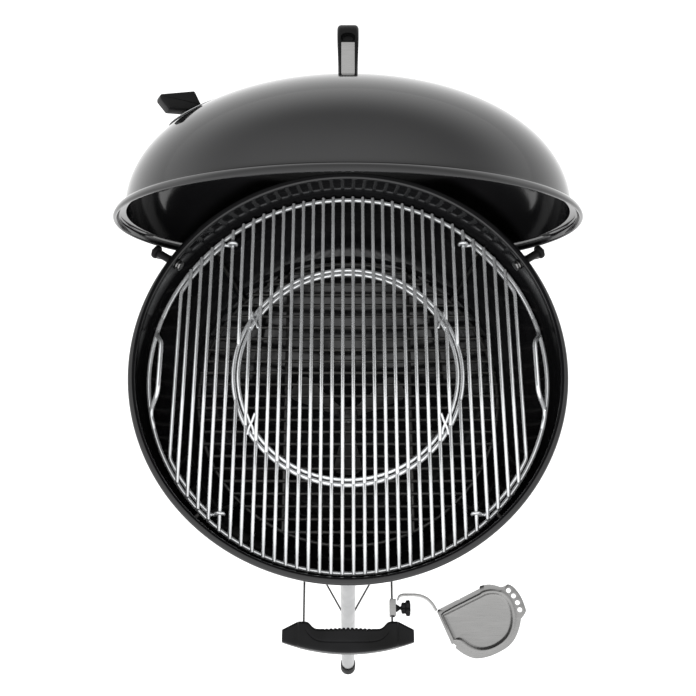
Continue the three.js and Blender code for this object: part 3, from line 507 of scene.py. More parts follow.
def brushed_stainless():
    """Stainless sheet brushed along X."""
    made, tree, shader = new_material("brushed_stainless")
    shader.inputs["Metallic"].default_value = 1.0
    lines = add_noise(tree, 60, 4.0, stretch=(1, 45, 45))
    drive_colour(tree, shader, lines, (0.23, 0.229, 0.226), (0.29, 0.288, 0.285))
    drive_roughness(tree, shader, lines, 0.22, 0.36)
    drive_bump(tree, shader, lines, 0.10, 0.0001)
    return made


def black_nylon():
    """Glass-filled nylon with a fine moulded grain."""
    made, tree, shader = new_material("black_nylon")
    shader.inputs["Specular IOR Level"].default_value = 0.09
    drive_colour(tree, shader, add_noise(tree, 25), (0.0025, 0.0025, 0.0025), (0.0045, 0.0045, 0.0048))
    drive_roughness(tree, shader, add_noise(tree, 60), 0.36, 0.48)
    drive_bump(tree, shader, add_noise(tree, 1800, 2.0), 0.22, 0.00015)
    return made


def black_coated_wire():
    made, tree, shader = new_material("black_coated_wire")
    drive_colour(tree, shader, add_noise(tree, 30), (0.007, 0.007, 0.007), (0.012, 0.012, 0.012))
    drive_roughness(tree, shader, add_noise(tree, 80), 0.24, 0.36)
    drive_bump(tree, shader, add_noise(tree, 500), 0.10, 0.0002)
    return made


def tyre_rubber():
    made, tree, shader = new_material("tyre_rubber")
    drive_colour(tree, shader, add_noise(tree, 30), (0.014, 0.014, 0.014), (0.026, 0.026, 0.025))
    drive_roughness(tree, shader, add_noise(tree, 60), 0.66, 0.82)
    drive_bump(tree, shader, add_noise(tree, 900), 0.20, 0.0002)
    return made


def pale_floor():
    made, _, shader = new_material("pale_floor")
    shader.inputs["Base Color"].default_value = (0.2, 0.2, 0.2, 1)
    shader.inputs["Roughness"].default_value = 0.9
    shader.inputs["Specular IOR Level"].default_value = 0.1
    shader.inputs["Emission Color"].default_value = (1, 1, 1, 1)
    shader.inputs["Emission Strength"].default_value = 1.0
    return made


FINISHES = {
    make.__name__: make()
    for make in (black_enamel, plated_wire, grate_steel, satin_aluminium, brushed_stainless,
                 black_nylon, black_coated_wire, tyre_rubber)
}
NODE_BODY = {node: body for body, nodes in frame["record"]["behaviour"]["bodies"].items() for node in nodes}
NODE_SLOT = {part["node"]: part["material_slot"] for part in frame["record"]["subparts"]}


# ---------------------------------------------------------------- objects

def raw_object(name, shape):
    """A mesh object in the frame's metres, with its faces turned outward."""
    points, faces = shape
    mesh = bpy.data.meshes.new(name)
    mesh.from_pydata([TO_FRAME @ Vector(point) for point in points], [], faces)
    sheet = bmesh.new()
    sheet.from_mesh(mesh)
    bmesh.ops.recalc_face_normals(sheet, faces=sheet.faces)
    sheet.to_mesh(mesh)
    sheet.free()
    made = bpy.data.objects.new(name, mesh)
    bpy.context.scene.collection.objects.link(made)
    return made


def carve(target, shape):
    """Cuts a closed shape out of a piece."""
    tool = raw_object("cutting_tool", shape)
    change = target.modifiers.new("carve", "BOOLEAN")
    change.operation = "DIFFERENCE"
    change.solver = "EXACT"
    change.object = tool
    depsgraph = bpy.context.evaluated_depsgraph_get()
    carved = bpy.data.meshes.new_from_object(target.evaluated_get(depsgraph))
    target.modifiers.clear()
    target.data = carved
    bpy.data.objects.remove(tool)


def piece(name, node, shape, tools=(), sharp=38):
    """The fine piece that stands for a CAD node, on the node's body, with the finish of the node's slot."""
    made = raw_object(name, shape)
    slot = NODE_SLOT[node]
    made.data.materials.append(FINISHES[slot])
    for tool in tools:
        carve(made, tool)
    made.data.shade_smooth()
    made.data.set_sharp_from_angle(angle=math.radians(sharp))
    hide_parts(node)
    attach(made, NODE_BODY[node])
    return made


# ---------------------------------------------------------------- bowl

def bowl_height(radius, inset=0.0):
    """Height of the bowl's surface at a radius, on a shell that is smaller by inset."""
    share = min(radius / (BOWL_RADIUS - inset), 1.0)
    drop = (BOWL_DEPTH - inset) * (1 - share ** CURVE_POWER) ** (1 / CURVE_POWER)
    return RIM_Z - LIP_HEIGHT - drop


def bowl_radius(z, inset=0.0):
    share = min(max((RIM_Z - LIP_HEIGHT - z) / (BOWL_DEPTH - inset), 0.0), 1.0)
    return (BOWL_RADIUS - inset) * (1 - share ** CURVE_POWER) ** (1 / CURVE_POWER)


def bowl_curve(inset, start_radius):
    """From the hole in the bottom up to the lip."""
    points = [(start_radius, bowl_height(start_radius, inset))]
    for i in range(1, SHELL_STEPS + 1):
        turn = math.pi / 2 * (1 - i / SHELL_STEPS)
        radius = (BOWL_RADIUS - inset) * math.cos(turn) ** (2 / CURVE_POWER)
        if radius > start_radius + 2:
            points.append((radius, bowl_height(radius, inset)))
    return points


def vent_tool(azimuth):
    outline = Pen(34, -8).line(78, -17).bend(91, -16, 91, 0).bend(91, 16, 78, 17).line(34, 8)
    outline.bend(28, 0, 34, -8)
    tool = slab(outline.points, BOWL_BOTTOM - 20, BOWL_BOTTOM + 40, edge=0.1)
    return moved(tool, Matrix.Rotation(math.radians(azimuth), 4, "Z"))


def make_bowl():
    lip_centre = (LIP_RADIUS - 4.9, RIM_Z - 4.6)
    lip = arc(lip_centre, (4.9, 4.6), -122, 192, 26)
    hole = SPINDLE_RADIUS + 1
    profile = bowl_curve(0, hole) + lip + bowl_curve(SHEET, hole)[::-1]
    piece("kettle_bowl", "bowl", turned(profile), tools=[vent_tool(a) for a in (30, 150, 270)])


def make_brackets():
    toe_z = COAL_GRATE_Z - 5.8
    seat_z = GRATE_Z - 6.5
    wall = bowl_radius(seat_z, SHEET) - 0.4
    for i, azimuth in enumerate(BRACKET_AZIMUTHS):
        route = [(206, 0, toe_z), (222, 0, toe_z), (265, 0, seat_z - 24), (266, 0, seat_z)]
        bar = wire(bent(route, 8), 3)
        seat = wire([(257, 0, seat_z), (wall, 0, seat_z)], 3)
        shape = joined([bar, seat])
        turn = Matrix.Rotation(math.radians(azimuth), 4, "Z")
        piece(f"bracket_{i + 1}", f"grate_bracket_{i + 1}", moved(shape, turn))


# ---------------------------------------------------------------- cooking grate

def rod_x(index):
    return (index + 0.5) * ROD_PITCH


def chord_rod(x, radius, z, wire_radius=ROD_WIRE):
    end = half_chord(radius, x)
    return wire([(x, -end, z), (x, end, z)], wire_radius)


def main_rods():
    rods = []
    z = GRATE_Z + ROD_RISE
    for index in range(MAIN_RODS):
        for side in (-1, 1):
            x = side * rod_x(index)
            if abs(x) >= HOLE_RADIUS:
                rods.append(chord_rod(x, GRATE_RADIUS + 2, z))
                continue
            start, end = half_chord(HOLE_RADIUS, x), half_chord(GRATE_RADIUS + 2, x)
            for way in (-1, 1):
                rods.append(wire([(x, way * start, z), (x, way * end, z)], ROD_WIRE))
    return rods


def grate_handle(side):
    """A raised bar of the grate, bent down to the ring at both ends."""
    top = GRATE_Z + 24
    middle = 0 if side > 0 else 180
    near = [polar(GRATE_RADIUS, middle - side * turn, GRATE_Z + rise) for turn, rise in ((17, 1), (12, 2))]
    far = [polar(GRATE_RADIUS, middle + side * turn, GRATE_Z + rise) for turn, rise in ((12, 2), (17, 1))]
    route = [*near, Vector((side * 252, -36, top)), Vector((side * 252, 36, top)), *far]
    return wire(bent(route, 9), ROD_WIRE + 0.6)


def make_cooking_grate():
    rings = [hoop(GRATE_RADIUS, RING_WIRE, GRATE_Z), hoop(HOLE_RADIUS, RING_WIRE, GRATE_Z)]
    piece("main_grate", "cooking_grate", joined(rings + main_rods() + [grate_handle(1), grate_handle(-1)]))


def flap_frame(side):
    """The flap's bent wire: a straight outer side and an arc at each end."""
    z = GRATE_Z + FRAME_RISE
    start = math.degrees(math.acos((HINGE_X + 11) / FLAP_ARC_RADIUS))
    end = math.degrees(math.asin(half_chord(FLAP_ARC_RADIUS, FLAP_SIDE_X) / FLAP_ARC_RADIUS))
    near, far = [], []
    for i in range(13):
        degrees = start + (end - start) * i / 12
        point = polar(FLAP_ARC_RADIUS, degrees, z)
        near.append(Vector((side * point.x, -point.y, z)))
        far.append(Vector((side * point.x, point.y, z)))
    corners = near + far[::-1]
    return wire(bent(corners, 6, steps=3), ROD_WIRE)


def flap_hook(side, y):
    """A hook that wraps the hinge rod."""
    centre_z = GRATE_Z + ROD_RISE
    path = [Vector((side * (HINGE_X + 15), y, GRATE_Z + FRAME_RISE))]
    for i in range(15):
        angle = math.radians(-60 + 19 * i)
        path.append(Vector((side * (HINGE_X + 5.4 * math.cos(angle)), y, centre_z + 5.4 * math.sin(angle))))
    return wire(path, 2.2)


def make_flap(name, side):
    z = GRATE_Z + FLAP_RISE
    places = range(MAIN_RODS, MAIN_RODS + FLAP_RODS)
    rods = [chord_rod(side * rod_x(i), GRATE_RADIUS - 0.5, z) for i in places]
    hook_y = math.sqrt(FLAP_ARC_RADIUS ** 2 - (HINGE_X + 11) ** 2) - 1
    hooks = [flap_hook(side, hook_y), flap_hook(side, -hook_y)]
    piece(f"flap_of_grate_{name}", f"grate_flap_{name}", joined([flap_frame(side), *rods, *hooks]))


def insert_clip(side_x, side_y):
    """Two crossed wires that rise between the rods, to lift the insert by."""
    x = side_x * 9 * ROD_PITCH
    shapes = []
    for lean in (-1, 1):
        route = [
            (x + lean * 5, side_y * 62, GRATE_Z + 12), (x + lean * 1.5, side_y * 72, GRATE_Z + 9),
            (x - lean * 3, side_y * 80, GRATE_Z + 5.4), (x - lean * 4, side_y * 88, GRATE_Z + 5.2),
        ]
        shapes.append(wire(bent(route, 4), 1.6, sides=10))
    return joined(shapes)


def make_insert():
    z = GRATE_Z + FLAP_RISE
    ring = hoop(INSERT_RADIUS, RING_WIRE - 0.4, GRATE_Z + 1.2)
    rods = [chord_rod(side * rod_x(i), HOLE_RADIUS - 0.5, z) for i in range(10) for side in (-1, 1)]
    clips = [insert_clip(x, y) for x in (-1, 1) for y in (-1, 1)]
    piece("round_insert", "grate_insert", joined([ring, *rods, *clips]))


def make_charcoal_grate():
    shapes = [hoop(COAL_GRATE_RADIUS, ROD_WIRE, COAL_GRATE_Z)]
    for index in range(COAL_RODS):
        y = (index - (COAL_RODS - 1) / 2) * COAL_ROD_PITCH
        end = half_chord(COAL_GRATE_RADIUS + 1, y)
        shapes.append(wire([(-end, y, COAL_GRATE_Z + 4), (end, y, COAL_GRATE_Z + 4)], ROD_WIRE))
    for x in (-COAL_RIB_X, COAL_RIB_X):
        shapes.append(chord_rod(x, COAL_GRATE_RADIUS, COAL_GRATE_Z))
    piece("fuel_grate", "charcoal_grate", joined(shapes))


# ---------------------------------------------------------------- sweeper and ash pan

def make_blades():
    outline = Pen(-43, -6).line(-22, -9).line(36, -21).bend(47, -18, 47, 0).bend(47, 18, 36, 21)
    outline.line(-22, 9).line(-43, 6)
    reach = BLADE_REACH - 48
    for i, azimuth in enumerate((30, 150, 270)):
        def place(u, v, height):
            radius = math.hypot(reach + u, v)
            return Vector((reach + u, v, bowl_height(radius, SHEET) + height))
        blade = draped(outline.points, place, 1.1, 2.7)
        turn = Matrix.Rotation(math.radians(azimuth), 4, "Z")
        piece(f"sweeper_blade_{i + 1}", f"vent_blade_{i + 1}", moved(blade, turn))


def make_sweeper():
    head = BOWL_BOTTOM + SHEET + 4.6
    low = BOWL_BOTTOM - 24
    profile = [(0, low), (4, low), (5, low + 1), (5, head), (14, head), (15, head + 1), (15, head + 3)]
    profile += arc((9, head + 3), (6, 5), 0, 90, 6)[1:] + [(0, head + 8)]
    piece("sweeper_pin", "sweeper_spindle", turned(profile, 48))
    turn = Matrix.Rotation(math.radians(LEVER_AZIMUTH), 4, "Z")
    outline = softened([(-11, -9), (208, -8), (208, 8), (-11, 9)], 6)
    bar = slab(outline, BOWL_BOTTOM - 20, BOWL_BOTTOM - 17, 0.6)
    piece("sweeper_bar", "sweeper_lever", moved(bar, turn))
    outline = Pen(150, -9).bend(186, -9, 202, -13).bend(231.5, -16, 231.5, 0).bend(231.5, 16, 202, 13)
    outline.bend(186, 9, 150, 9)
    middle = BOWL_BOTTOM - 18.5
    grip = slab(outline.points, middle - 8, middle + 8, 4, steps=5)
    ridges = []
    for x in range(176, 206, 6):
        for level in (middle - 8, middle + 8):
            ridges.append(wire([(x, -8, level), (x, 8, level)], 1.0, sides=8))
    piece("sweeper_grip", "sweeper_lever_grip", moved(joined([grip, *ridges]), turn))


def make_ash_ring():
    wall, low = ASH_RING_RADIUS, ASH_PAN_TOP - 24
    top = bowl_height(wall + 1.2) - 0.2
    profile = [(wall, top), (wall, low + 1), (wall + 1.2, low), (wall + 2.5, low + 1), (wall + 2.5, top)]
    turn = Matrix.Rotation(math.radians(LEVER_AZIMUTH), 4, "Z")
    half = turn @ Matrix.Translation((wall, 0, BOWL_BOTTOM - 18.5))
    slot = slab(softened([(-7, -70), (7, -70), (7, 70), (-7, 70)], 5), -30, 30, 0.1)
    standing_slot = moved(slot, half @ Matrix.Rotation(math.radians(90), 4, "Y"))
    piece("ash_collar", "ash_ring", turned(profile), tools=[standing_slot])


def make_ash_pan():
    wall, floor, lip = ASH_PAN_RADIUS, ASH_PAN_BOTTOM, ASH_PAN_TOP - 27
    outside = [(0, floor + 1), (40, floor + 1), (46, floor), (wall - 16, floor)]
    outside += arc((wall - 14, floor + 10), (10, 10), -90, -8, 8)
    outside += [(wall - 1.5, lip - 18), (wall - 0.3, lip - 16)]
    outside += [(wall - 0.3, lip - 12), (wall - 1.5, lip - 10)]
    bead = arc((wall + 1.6, lip - 2.4), (2.4, 2.4), -110, 180, 12)
    inside = [(wall - 2.4, lip - 10), (wall - 6, floor + 12)]
    inside += arc((wall - 15.5, floor + 11.5), (9.5, 9.5), 0, -90, 8)[1:]
    inside += [(46, floor + 2), (40, floor + 3), (0, floor + 3)]
    ears = []
    pivot = ASH_PAN_TOP - 42
    for side in (-1, 1):
        plate = slab(softened([(-11, -13), (11, -13), (8, 12), (-8, 12)], 5), 0, 1.6, 0.4)
        place = Matrix.Translation((side * (wall + 0.2), 0, pivot)) @ STANDING
        if side < 0:
            place = Matrix.Translation((-1.6, 0, 0)) @ place
        ears.append(moved(plate, place))
    piece("ash_bucket", "ash_pan", joined([turned(outside + bead + inside), *ears]))


def make_ash_bail():
    pivot, reach = ASH_PAN_TOP - 42, ASH_PAN_RADIUS + 8
    low = pivot - BAIL_DROP
    corners = [(reach, 0, pivot), (reach, 0, low), (-reach, 0, low), (-reach, 0, pivot)]
    bow = wire(bent(corners, 42, steps=12), 2.6)
    start = ASH_PAN_RADIUS + 2.8
    pins = [wire([(side * start, 0, pivot), (side * reach, 0, pivot)], 2.4) for side in (-1, 1)]
    piece("ash_bucket_bail", "ash_pan_bail", joined([bow, *pins]))


# ---------------------------------------------------------------- legs, wheels and rack

def leg_point(azimuth, z):
    return polar(FOOT_REACH - LEG_SPLAY * z, azimuth, z)


def leg_frame(azimuth):
    """Puts Z along a leg's line, with height 0 where the line meets the floor."""
    along = (leg_point(azimuth, 100) - leg_point(azimuth, 0)).normalized()
    turn = Vector((0, 0, 1)).rotation_difference(along).to_matrix().to_4x4()
    return Matrix.Translation(leg_point(azimuth, 0)) @ turn


LEG_STRETCH = math.hypot(1, LEG_SPLAY)    # length along a leg for each unit of height


def make_leg(name, azimuth, low):
    inner = LEG_RADIUS - LEG_WALL
    start, end = low * LEG_STRETCH, LEG_TOP_Z * LEG_STRETCH
    profile = [
        (inner, start), (LEG_RADIUS - 0.5, start), (LEG_RADIUS, start + 0.5),
        (LEG_RADIUS, end), (inner, end),
    ]
    piece(f"tube_{name}", f"leg_{name}", moved(turned(profile, 64), leg_frame(azimuth)))


def reach_bowl(point, along):
    """Where a line from below meets the bowl's outer surface."""
    low, high = 0.0, 160.0
    for _ in range(40):
        middle = (low + high) / 2
        at = point + along * middle
        inside = math.hypot(at.x, at.y) < BOWL_RADIUS and at.z > bowl_height(math.hypot(at.x, at.y))
        low, high = (low, middle) if inside else (middle, high)
    return point + along * low


def make_socket(name, azimuth):
    """The enamelled tube that takes a leg, with its weld to the bowl."""
    frame_here = leg_frame(azimuth)
    along = (frame_here.to_3x3() @ Vector((0, 0, 1))).normalized()
    outer, inner = LEG_RADIUS + 3.2, LEG_RADIUS + 0.8
    start = (LEG_TOP_Z - 56) * LEG_STRETCH
    foot = [frame_here @ point for point in circle(outer, 64, start + 1.2)]
    edge = [frame_here @ point for point in circle(outer - 1.2, 64, start)]
    bore = [frame_here @ point for point in circle(inner, 64, start + 0.4)]
    top = [reach_bowl(point, along) + along * 0.6 for point in foot]
    bore_top = [reach_bowl(point, along) + along * 0.6 for point in bore]
    tube = skin([bore, edge, foot, top, bore_top], closed=True)
    weld = wire([point - along * 1.0 for point in top], 2.0, sides=8, closed=True)
    piece(f"socket_{name}", f"leg_socket_{name}", joined([tube, weld]))


def make_foot_cap():
    outer, top = LEG_RADIUS + 2, 26 * LEG_STRETCH
    inner = LEG_RADIUS + 0.3
    profile = [(0, -2), (outer - 2, -2), (outer, 0), (outer, top - 1.5), (outer - 0.8, top), (inner, top)]
    profile += [(inner, 7.5), (0, 7.5)]
    points, faces = moved(turned(profile, 64), leg_frame(LEG_AZIMUTHS["front"]))
    points = [Vector((p.x, p.y, max(p.z, 0.0))) for p in points]
    piece("foot_boot", "foot_cap", (points, faces))


def make_axle():
    half = [(5, AXLE_END - 1), (4, AXLE_END), (0, AXLE_END)]
    profile = [(radius, -end) for radius, end in reversed(half)] + half
    rod = moved(turned(profile, 32), Matrix.Translation((0, WHEEL.y, WHEEL.z)) @ TO_X_AXIS)
    collars = []
    for side in (-1, 1):
        place = Matrix.Translation((side * (WHEEL.x - 24), WHEEL.y, WHEEL.z)) @ TO_X_AXIS
        collars.append(moved(turned([(5, -2), (8, -2), (8.6, -1), (8.6, 1), (8, 2), (5, 2)], 32), place))
    piece("wheel_axle", "axle", joined([rod, *collars]))


def tyre_shape():
    """A tyre with blocks across its tread and a raised line on each wall."""
    half = [(79, 15), (84, 16.6), (86, 17.6), (88, 17.6), (90, 17.4), (96, 17.0), (98.6, 14.5), (100, 11)]
    profile = [(r, -w) for r, w in half] + [(100, -3.5), (98.4, -2.5), (98.4, 2.5), (100, 3.5)]
    profile += [(r, w) for r, w in reversed(half)]
    segments, blocks = 216, 36
    rings = []
    for radius, width in profile:
        ring = []
        for i in range(segments):
            groove = i % (segments // blocks) == 0 and radius > 99
            ring.append(polar(radius - (1.8 if groove else 0), 360 * i / segments, width))
        rings.append(ring)
    return skin(rings, closed=True)


def rim_shape():
    """A moulded rim: a hub, a dished web with ribs, and a bead under the tyre."""
    profile = [
        (5.4, -20), (15, -20), (17, -18), (19, -6), (22, -4), (62, -4), (66, -6), (69, -14), (70, -15),
        (78, -15), (78.7, -14), (78.7, 14), (78, 15), (70, 15), (69, 14), (66, 6), (62, 4), (22, 4),
        (19, 6), (17, 18), (15, 20), (5.4, 20),
    ]
    ribs = []
    for i in range(6):
        rib = slab(softened([(17, -1.6), (69, -1.6), (69, 1.6), (17, 1.6)], 0.6), -9, 9, 0.6)
        ribs.append(moved(rib, Matrix.Rotation(math.radians(60 * i + 30), 4, "Z")))
    return joined([turned(profile), *ribs])


def rim_window(i):
    """The round-cornered opening between two ribs."""
    corners = [polar(28, -17), polar(58, -21), polar(60, 0), polar(58, 21), polar(28, 17)]
    outline = softened([corner.to_2d() for corner in corners], 7)
    return moved(slab(outline, -14, 14, 0.1), Matrix.Rotation(math.radians(60 * i), 4, "Z"))


def make_wheel(name, side):
    place = Matrix.Translation((side * WHEEL.x, WHEEL.y, WHEEL.z)) @ TO_X_AXIS
    piece(f"wheel_tyre_{name}", f"tyre_{name}", moved(tyre_shape(), place))
    windows = [moved(rim_window(i), place) for i in range(6)]
    piece(f"wheel_hub_{name}", f"wheel_rim_{name}", moved(rim_shape(), place), tools=windows)
    profile = [(0, 0), (12.4, 0), (13, 0.6), (13, 1.4), (12, 2.4), (9, 3.4), (5, 3.9), (0, 4)]
    turn = Matrix.Rotation(math.radians(90 * side), 4, "Y")
    cap_place = Matrix.Translation((side * (WHEEL.x + 20.3), WHEEL.y, WHEEL.z)) @ turn
    piece(f"wheel_cap_{name}", f"hub_cap_{name}", moved(turned(profile, 48), cap_place))


def make_rack():
    """Three sides that end at the legs, and wires from the back side forward to the other two."""
    corners = [leg_point(azimuth, RACK_Z) for azimuth in LEG_AZIMUTHS.values()]
    shapes = []
    for i, corner in enumerate(corners):
        following = corners[(i + 1) % 3]
        short = (following - corner).normalized() * (LEG_RADIUS + 1.5)
        shapes.append(wire([corner + short, following - short], RACK_WIRE))
    front, back = corners[0].y, corners[1].y
    x, z = RACK_PITCH, RACK_Z + RACK_WIRE * 0.6
    while x < corners[1].x - LEG_RADIUS:
        start = front + x * math.tan(math.radians(60))
        for side in (-1, 1):
            shapes.append(wire([(side * x, start, z), (side * x, back, z)], RACK_WIRE))
        x += RACK_PITCH
    piece("wire_rack", "bottom_rack", joined(shapes))


# ---------------------------------------------------------------- front handle

# Back edge of the grip from its middle to one end: (distance from the middle, Y).
GRIP_BACK = [(0, -336.1), (26, -337.5), (34, -338), (40, -337.6), (43, -335.8), (48.5, -330), (51, -329.2),
             (62, -329.0), (HANDLE_END_X, -338.2)]
GRIP_TOP = [(0, 13), (59, 13), (63, 9.5), (79.5, 8), (HANDLE_END_X, 6.0)]


def straight_knots(knots, x):
    """A value at x on straight lines between (x, value) knots in rising order."""
    for (x0, v0), (x1, v1) in zip(knots, knots[1:]):
        if x <= x1:
            return v0 + (v1 - v0) * (x - x0) / (x1 - x0)
    return knots[-1][1]


def grip_back(x):
    """Y of the grip's back edge, with small teeth across its middle."""
    reach = abs(x)
    y = sum(straight_knots(GRIP_BACK, abs(reach + step)) for step in (-1.5, -0.75, 0, 0.75, 1.5)) / 5
    if reach < 29:
        height = 2.6 - 1.4 * reach / 26
        y -= height * (1 - abs(math.cos(math.pi * x / 5.2)) ** 0.7)
    return y


def grip_front(x):
    return -366.5 + 13.5 * (x / HANDLE_END_X) ** 2


def grip_groove(x):
    """Y of the groove that bows from hump to hump on the grip's top."""
    return -353.3 + 17.3 * (abs(x) / 53) ** 6.5


def grip_section(x):
    """One section of the grip, across Y and Z, as a ring of points."""
    back, front, half = grip_back(x), grip_front(x), along_knots(GRIP_TOP, abs(x))
    edge, across = 4.0, 46
    top = []
    for i in range(across + 1):
        y = back + (front - back) * i / across
        inset = max(0.0, edge - min(back - y, y - front))
        drop = edge - math.sqrt(max(edge ** 2 - inset ** 2, 0.0))
        depth = 0.9 * math.exp(-(((y - grip_groove(x)) / 0.8) ** 2)) if abs(x) < 52 else 0.0
        top.append((y, half - drop - depth))
    bottom = [(y, -(half - (max(0.0, edge - min(back - y, y - front)) ** 2) / (2 * edge))) for y, _ in top]
    return [Vector((x, y, HANDLE_Z + z)) for y, z in top + bottom[::-1]]


def make_grip():
    stations = [i * 0.9 for i in range(-90, 91)]
    rings = [grip_section(x) for x in stations]
    notches = []
    for side in (-1, 1):
        for z in (-3.4, 3.4):
            level = HANDLE_Z + z
            notches.append(wire([(side * 81, -344, level), (side * 81, -350, level)], 1.0, sides=8))
    piece("front_grip", "handle_grip", skin(rings), tools=notches, sharp=50)


def bowl_patch(x, z, half_width, half_height, thickness):
    """A round-cornered plate laid on the front of the bowl."""
    corners = [(-half_width, -half_height), (half_width, -half_height), (half_width, half_height),
               (-half_width, half_height)]

    def place(u, v, height):
        radius = bowl_radius(z + v) + height
        return Vector((x + u, -half_chord(radius, x + u), z + v))
    return draped(softened(corners, 2), place, 0.1, thickness)


def make_handle_arm(name, side):
    """A strip on edge, from a tab on the bowl into the grip."""
    x, half = side * HANDLE_ARM_X, HANDLE_ARM_HALF
    wall = -half_chord(bowl_radius(HANDLE_Z), x)
    corners = [(-345, HANDLE_Z - half), (wall - 1, HANDLE_Z - half), (wall - 1, HANDLE_Z + half),
               (-345, HANDLE_Z + half)]
    strip = moved(slab(softened(corners, 2), -1.1, 1.1, 0.5), Matrix.Translation((x, 0, 0)) @ STANDING)
    tab = bowl_patch(x - side * 6, HANDLE_Z, 7, half, 2.2)
    piece(f"grip_arm_{name}", f"handle_arm_{name}", joined([strip, tab]))


# ---------------------------------------------------------------- tray

def make_clamp():
    """A clip that sits over the handle's arm, open below."""
    left, right, low, high, slot = -3.1, 4.7, 756.5, 775.5, 1.4
    corners = [(left, low), (-slot, low), (-slot, high - 2.2), (slot, high - 2.2), (slot, low), (right, low),
               (right, high), (left, high)]
    body = slab(softened(corners, 0.7, 3), -10, 10, 0.6)
    upright = Matrix.Rotation(math.radians(90), 4, "X")
    piece("arm_clip", "tray_clamp", moved(body, Matrix.Translation((HANDLE_ARM_X, CLAMP_Y, 0)) @ upright))


def make_knob():
    """A screw with a waist, lobes round its middle and a wide lobed end."""
    # Each section: distance from the kettle's axis, radius, depth of the lobes.
    sections = [
        (55.9, 1.8, 0), (59.4, 1.8, 0), (59.6, 4.4, 0), (60.4, 4.9, 0), (62.4, 3.6, 0), (64.6, 1.9, 0),
        (65.6, 2.2, 0.2), (66.4, 5.0, 0.8), (67.2, 5.9, 1.0), (69.6, 6.0, 1.0), (70.8, 5.6, 0.9),
        (71.4, 6.6, 1.0), (72.2, 8.2, 1.3), (75.4, 8.6, 1.4), (76.8, 8.0, 1.2), (77.3, 6.8, 1.0),
    ]
    rings = []
    for x, radius, depth in sections:
        ring = []
        for i in range(72):
            angle = 2 * math.pi * i / 72
            reach = radius + depth * math.cos(6 * angle)
            ring.append(Vector((x, CLAMP_Y + reach * math.cos(angle), HANDLE_Z + reach * math.sin(angle))))
        rings.append(ring)
    piece("clip_screw", "thumb_knob", skin(rings))


def make_tray_arm():
    """A strip on edge, bent from the clip to the tray's corner."""
    route = bent([(61.7, -302.5), (64, -296), (88, -296), (99, -300.5), (105.5, -307.5), (109.6, -315.2)], 7)
    half, left, right = 1.2, [], []
    for i, point in enumerate(route):
        along = (route[min(i + 1, len(route) - 1)] - route[max(i - 1, 0)]).normalized()
        left.append(point + Vector((-along.y, along.x)) * half)
        right.append(point - Vector((-along.y, along.x)) * half)
    piece("tray_strip", "tray_arm", slab(left + right[::-1], HANDLE_Z - 6, HANDLE_Z + 6, 0.5))


def tray_outline():
    pen = Pen(111.6, -313.9).line(137, -301.4).line(137.8, -302.6).line(139.4, -300.3).line(164, -288.2)
    pen.line(164.7, -285.3).bend(177, -280.5, 190, -286).bend(194, -286.5, 199.5, -283)
    pen.bend(205, -282, 213, -293.5).bend(218, -301, 221, -315).bend(219, -320, 214, -325)
    pen.bend(212.5, -333, 209, -341).bend(203, -355, 191, -361.3).bend(171, -372.6, 155, -372)
    pen.bend(143, -370, 131.4, -359.6).line(132.4, -356.7).line(129, -354.5).line(127.2, -355.6)
    return pen.line(110.4, -316.8).points


def dish_outline():
    """The sunken dish, about its own middle: round at the right, drawn out to the left side."""
    pen = Pen(-53.5, 5).line(-4, 28.5).bend(7, 35, 19, 31.5).bend(34, 25, 33.5, 3)
    pen.bend(32.5, -19, 14, -29.5).bend(-9, -43, -28, -26.5).bend(-34, -22, -40.5, -24)
    return [DISH_CENTRE + point for point in pen.points]


def ray_length(outline, centre, direction):
    """How far a ray from the centre runs to the outline."""
    best = 0.0
    for a, b in zip(outline, outline[1:] + outline[:1]):
        edge = b - a
        turn = direction.x * edge.y - direction.y * edge.x
        if abs(turn) < 1e-9:
            continue
        to_edge = a - centre
        length = (to_edge.x * edge.y - to_edge.y * edge.x) / turn
        share = (to_edge.x * direction.y - to_edge.y * direction.x) / turn
        if length > 0 and -1e-6 <= share <= 1 + 1e-6:
            best = max(best, length)
    return best


def tray_rings():
    """Rings of the pressed tray from under its middle, round its edge, and back over to its middle."""
    outer, dish = tray_outline(), dish_outline()
    angles = {2 * math.pi * i / 180 for i in range(180)}
    angles |= {math.atan2(p.y - DISH_CENTRE.y, p.x - DISH_CENTRE.x) % (2 * math.pi) for p in outer + dish}
    directions = [Vector((math.cos(a), math.sin(a))) for a in sorted(angles)]
    top, floor, sheet = HANDLE_Z + 0.9, HANDLE_Z - 2.2, 1.2
    # Each level: share of the dish's reach, share of the way on to the tray's edge, height.
    levels = [
        (0.45, 0, floor - sheet), (0.86, 0, floor - sheet), (0.93, 0, floor - sheet + 0.5),
        (1, 0, top - sheet),
        (1, 0.45, top - sheet), (1, 0.97, top - sheet), (1, 1.0, top - sheet / 2), (1, 0.97, top),
        (1, 0.50, top), (1, 0.38, top + 0.4), (1, 0.26, top + 1.3), (1, 0.16, top + 1.6),
        (1, 0.06, top + 1.3),
        (0.99, 0, top + 0.3), (0.95, 0, floor + 1.2), (0.92, 0, floor + 0.3), (0.88, 0, floor),
        (0.45, 0, floor),
    ]
    reaches = []
    for direction in directions:
        inner = ray_length(dish, DISH_CENTRE, direction)
        edge = max(ray_length(outer, DISH_CENTRE, direction), inner + 0.8)
        reaches.append((direction, inner, edge))
    rings = [[Vector((DISH_CENTRE.x, DISH_CENTRE.y, floor - sheet))]]
    for share, onward, z in levels:
        ring = []
        for direction, inner, edge in reaches:
            span = min(edge - inner, 12) if 0 < onward < 0.6 else edge - inner
            point = DISH_CENTRE + direction * (inner * share + span * onward)
            ring.append(Vector((point.x, point.y, z)))
        rings.append(ring)
    rings.append([Vector((DISH_CENTRE.x, DISH_CENTRE.y, floor))])
    return rings


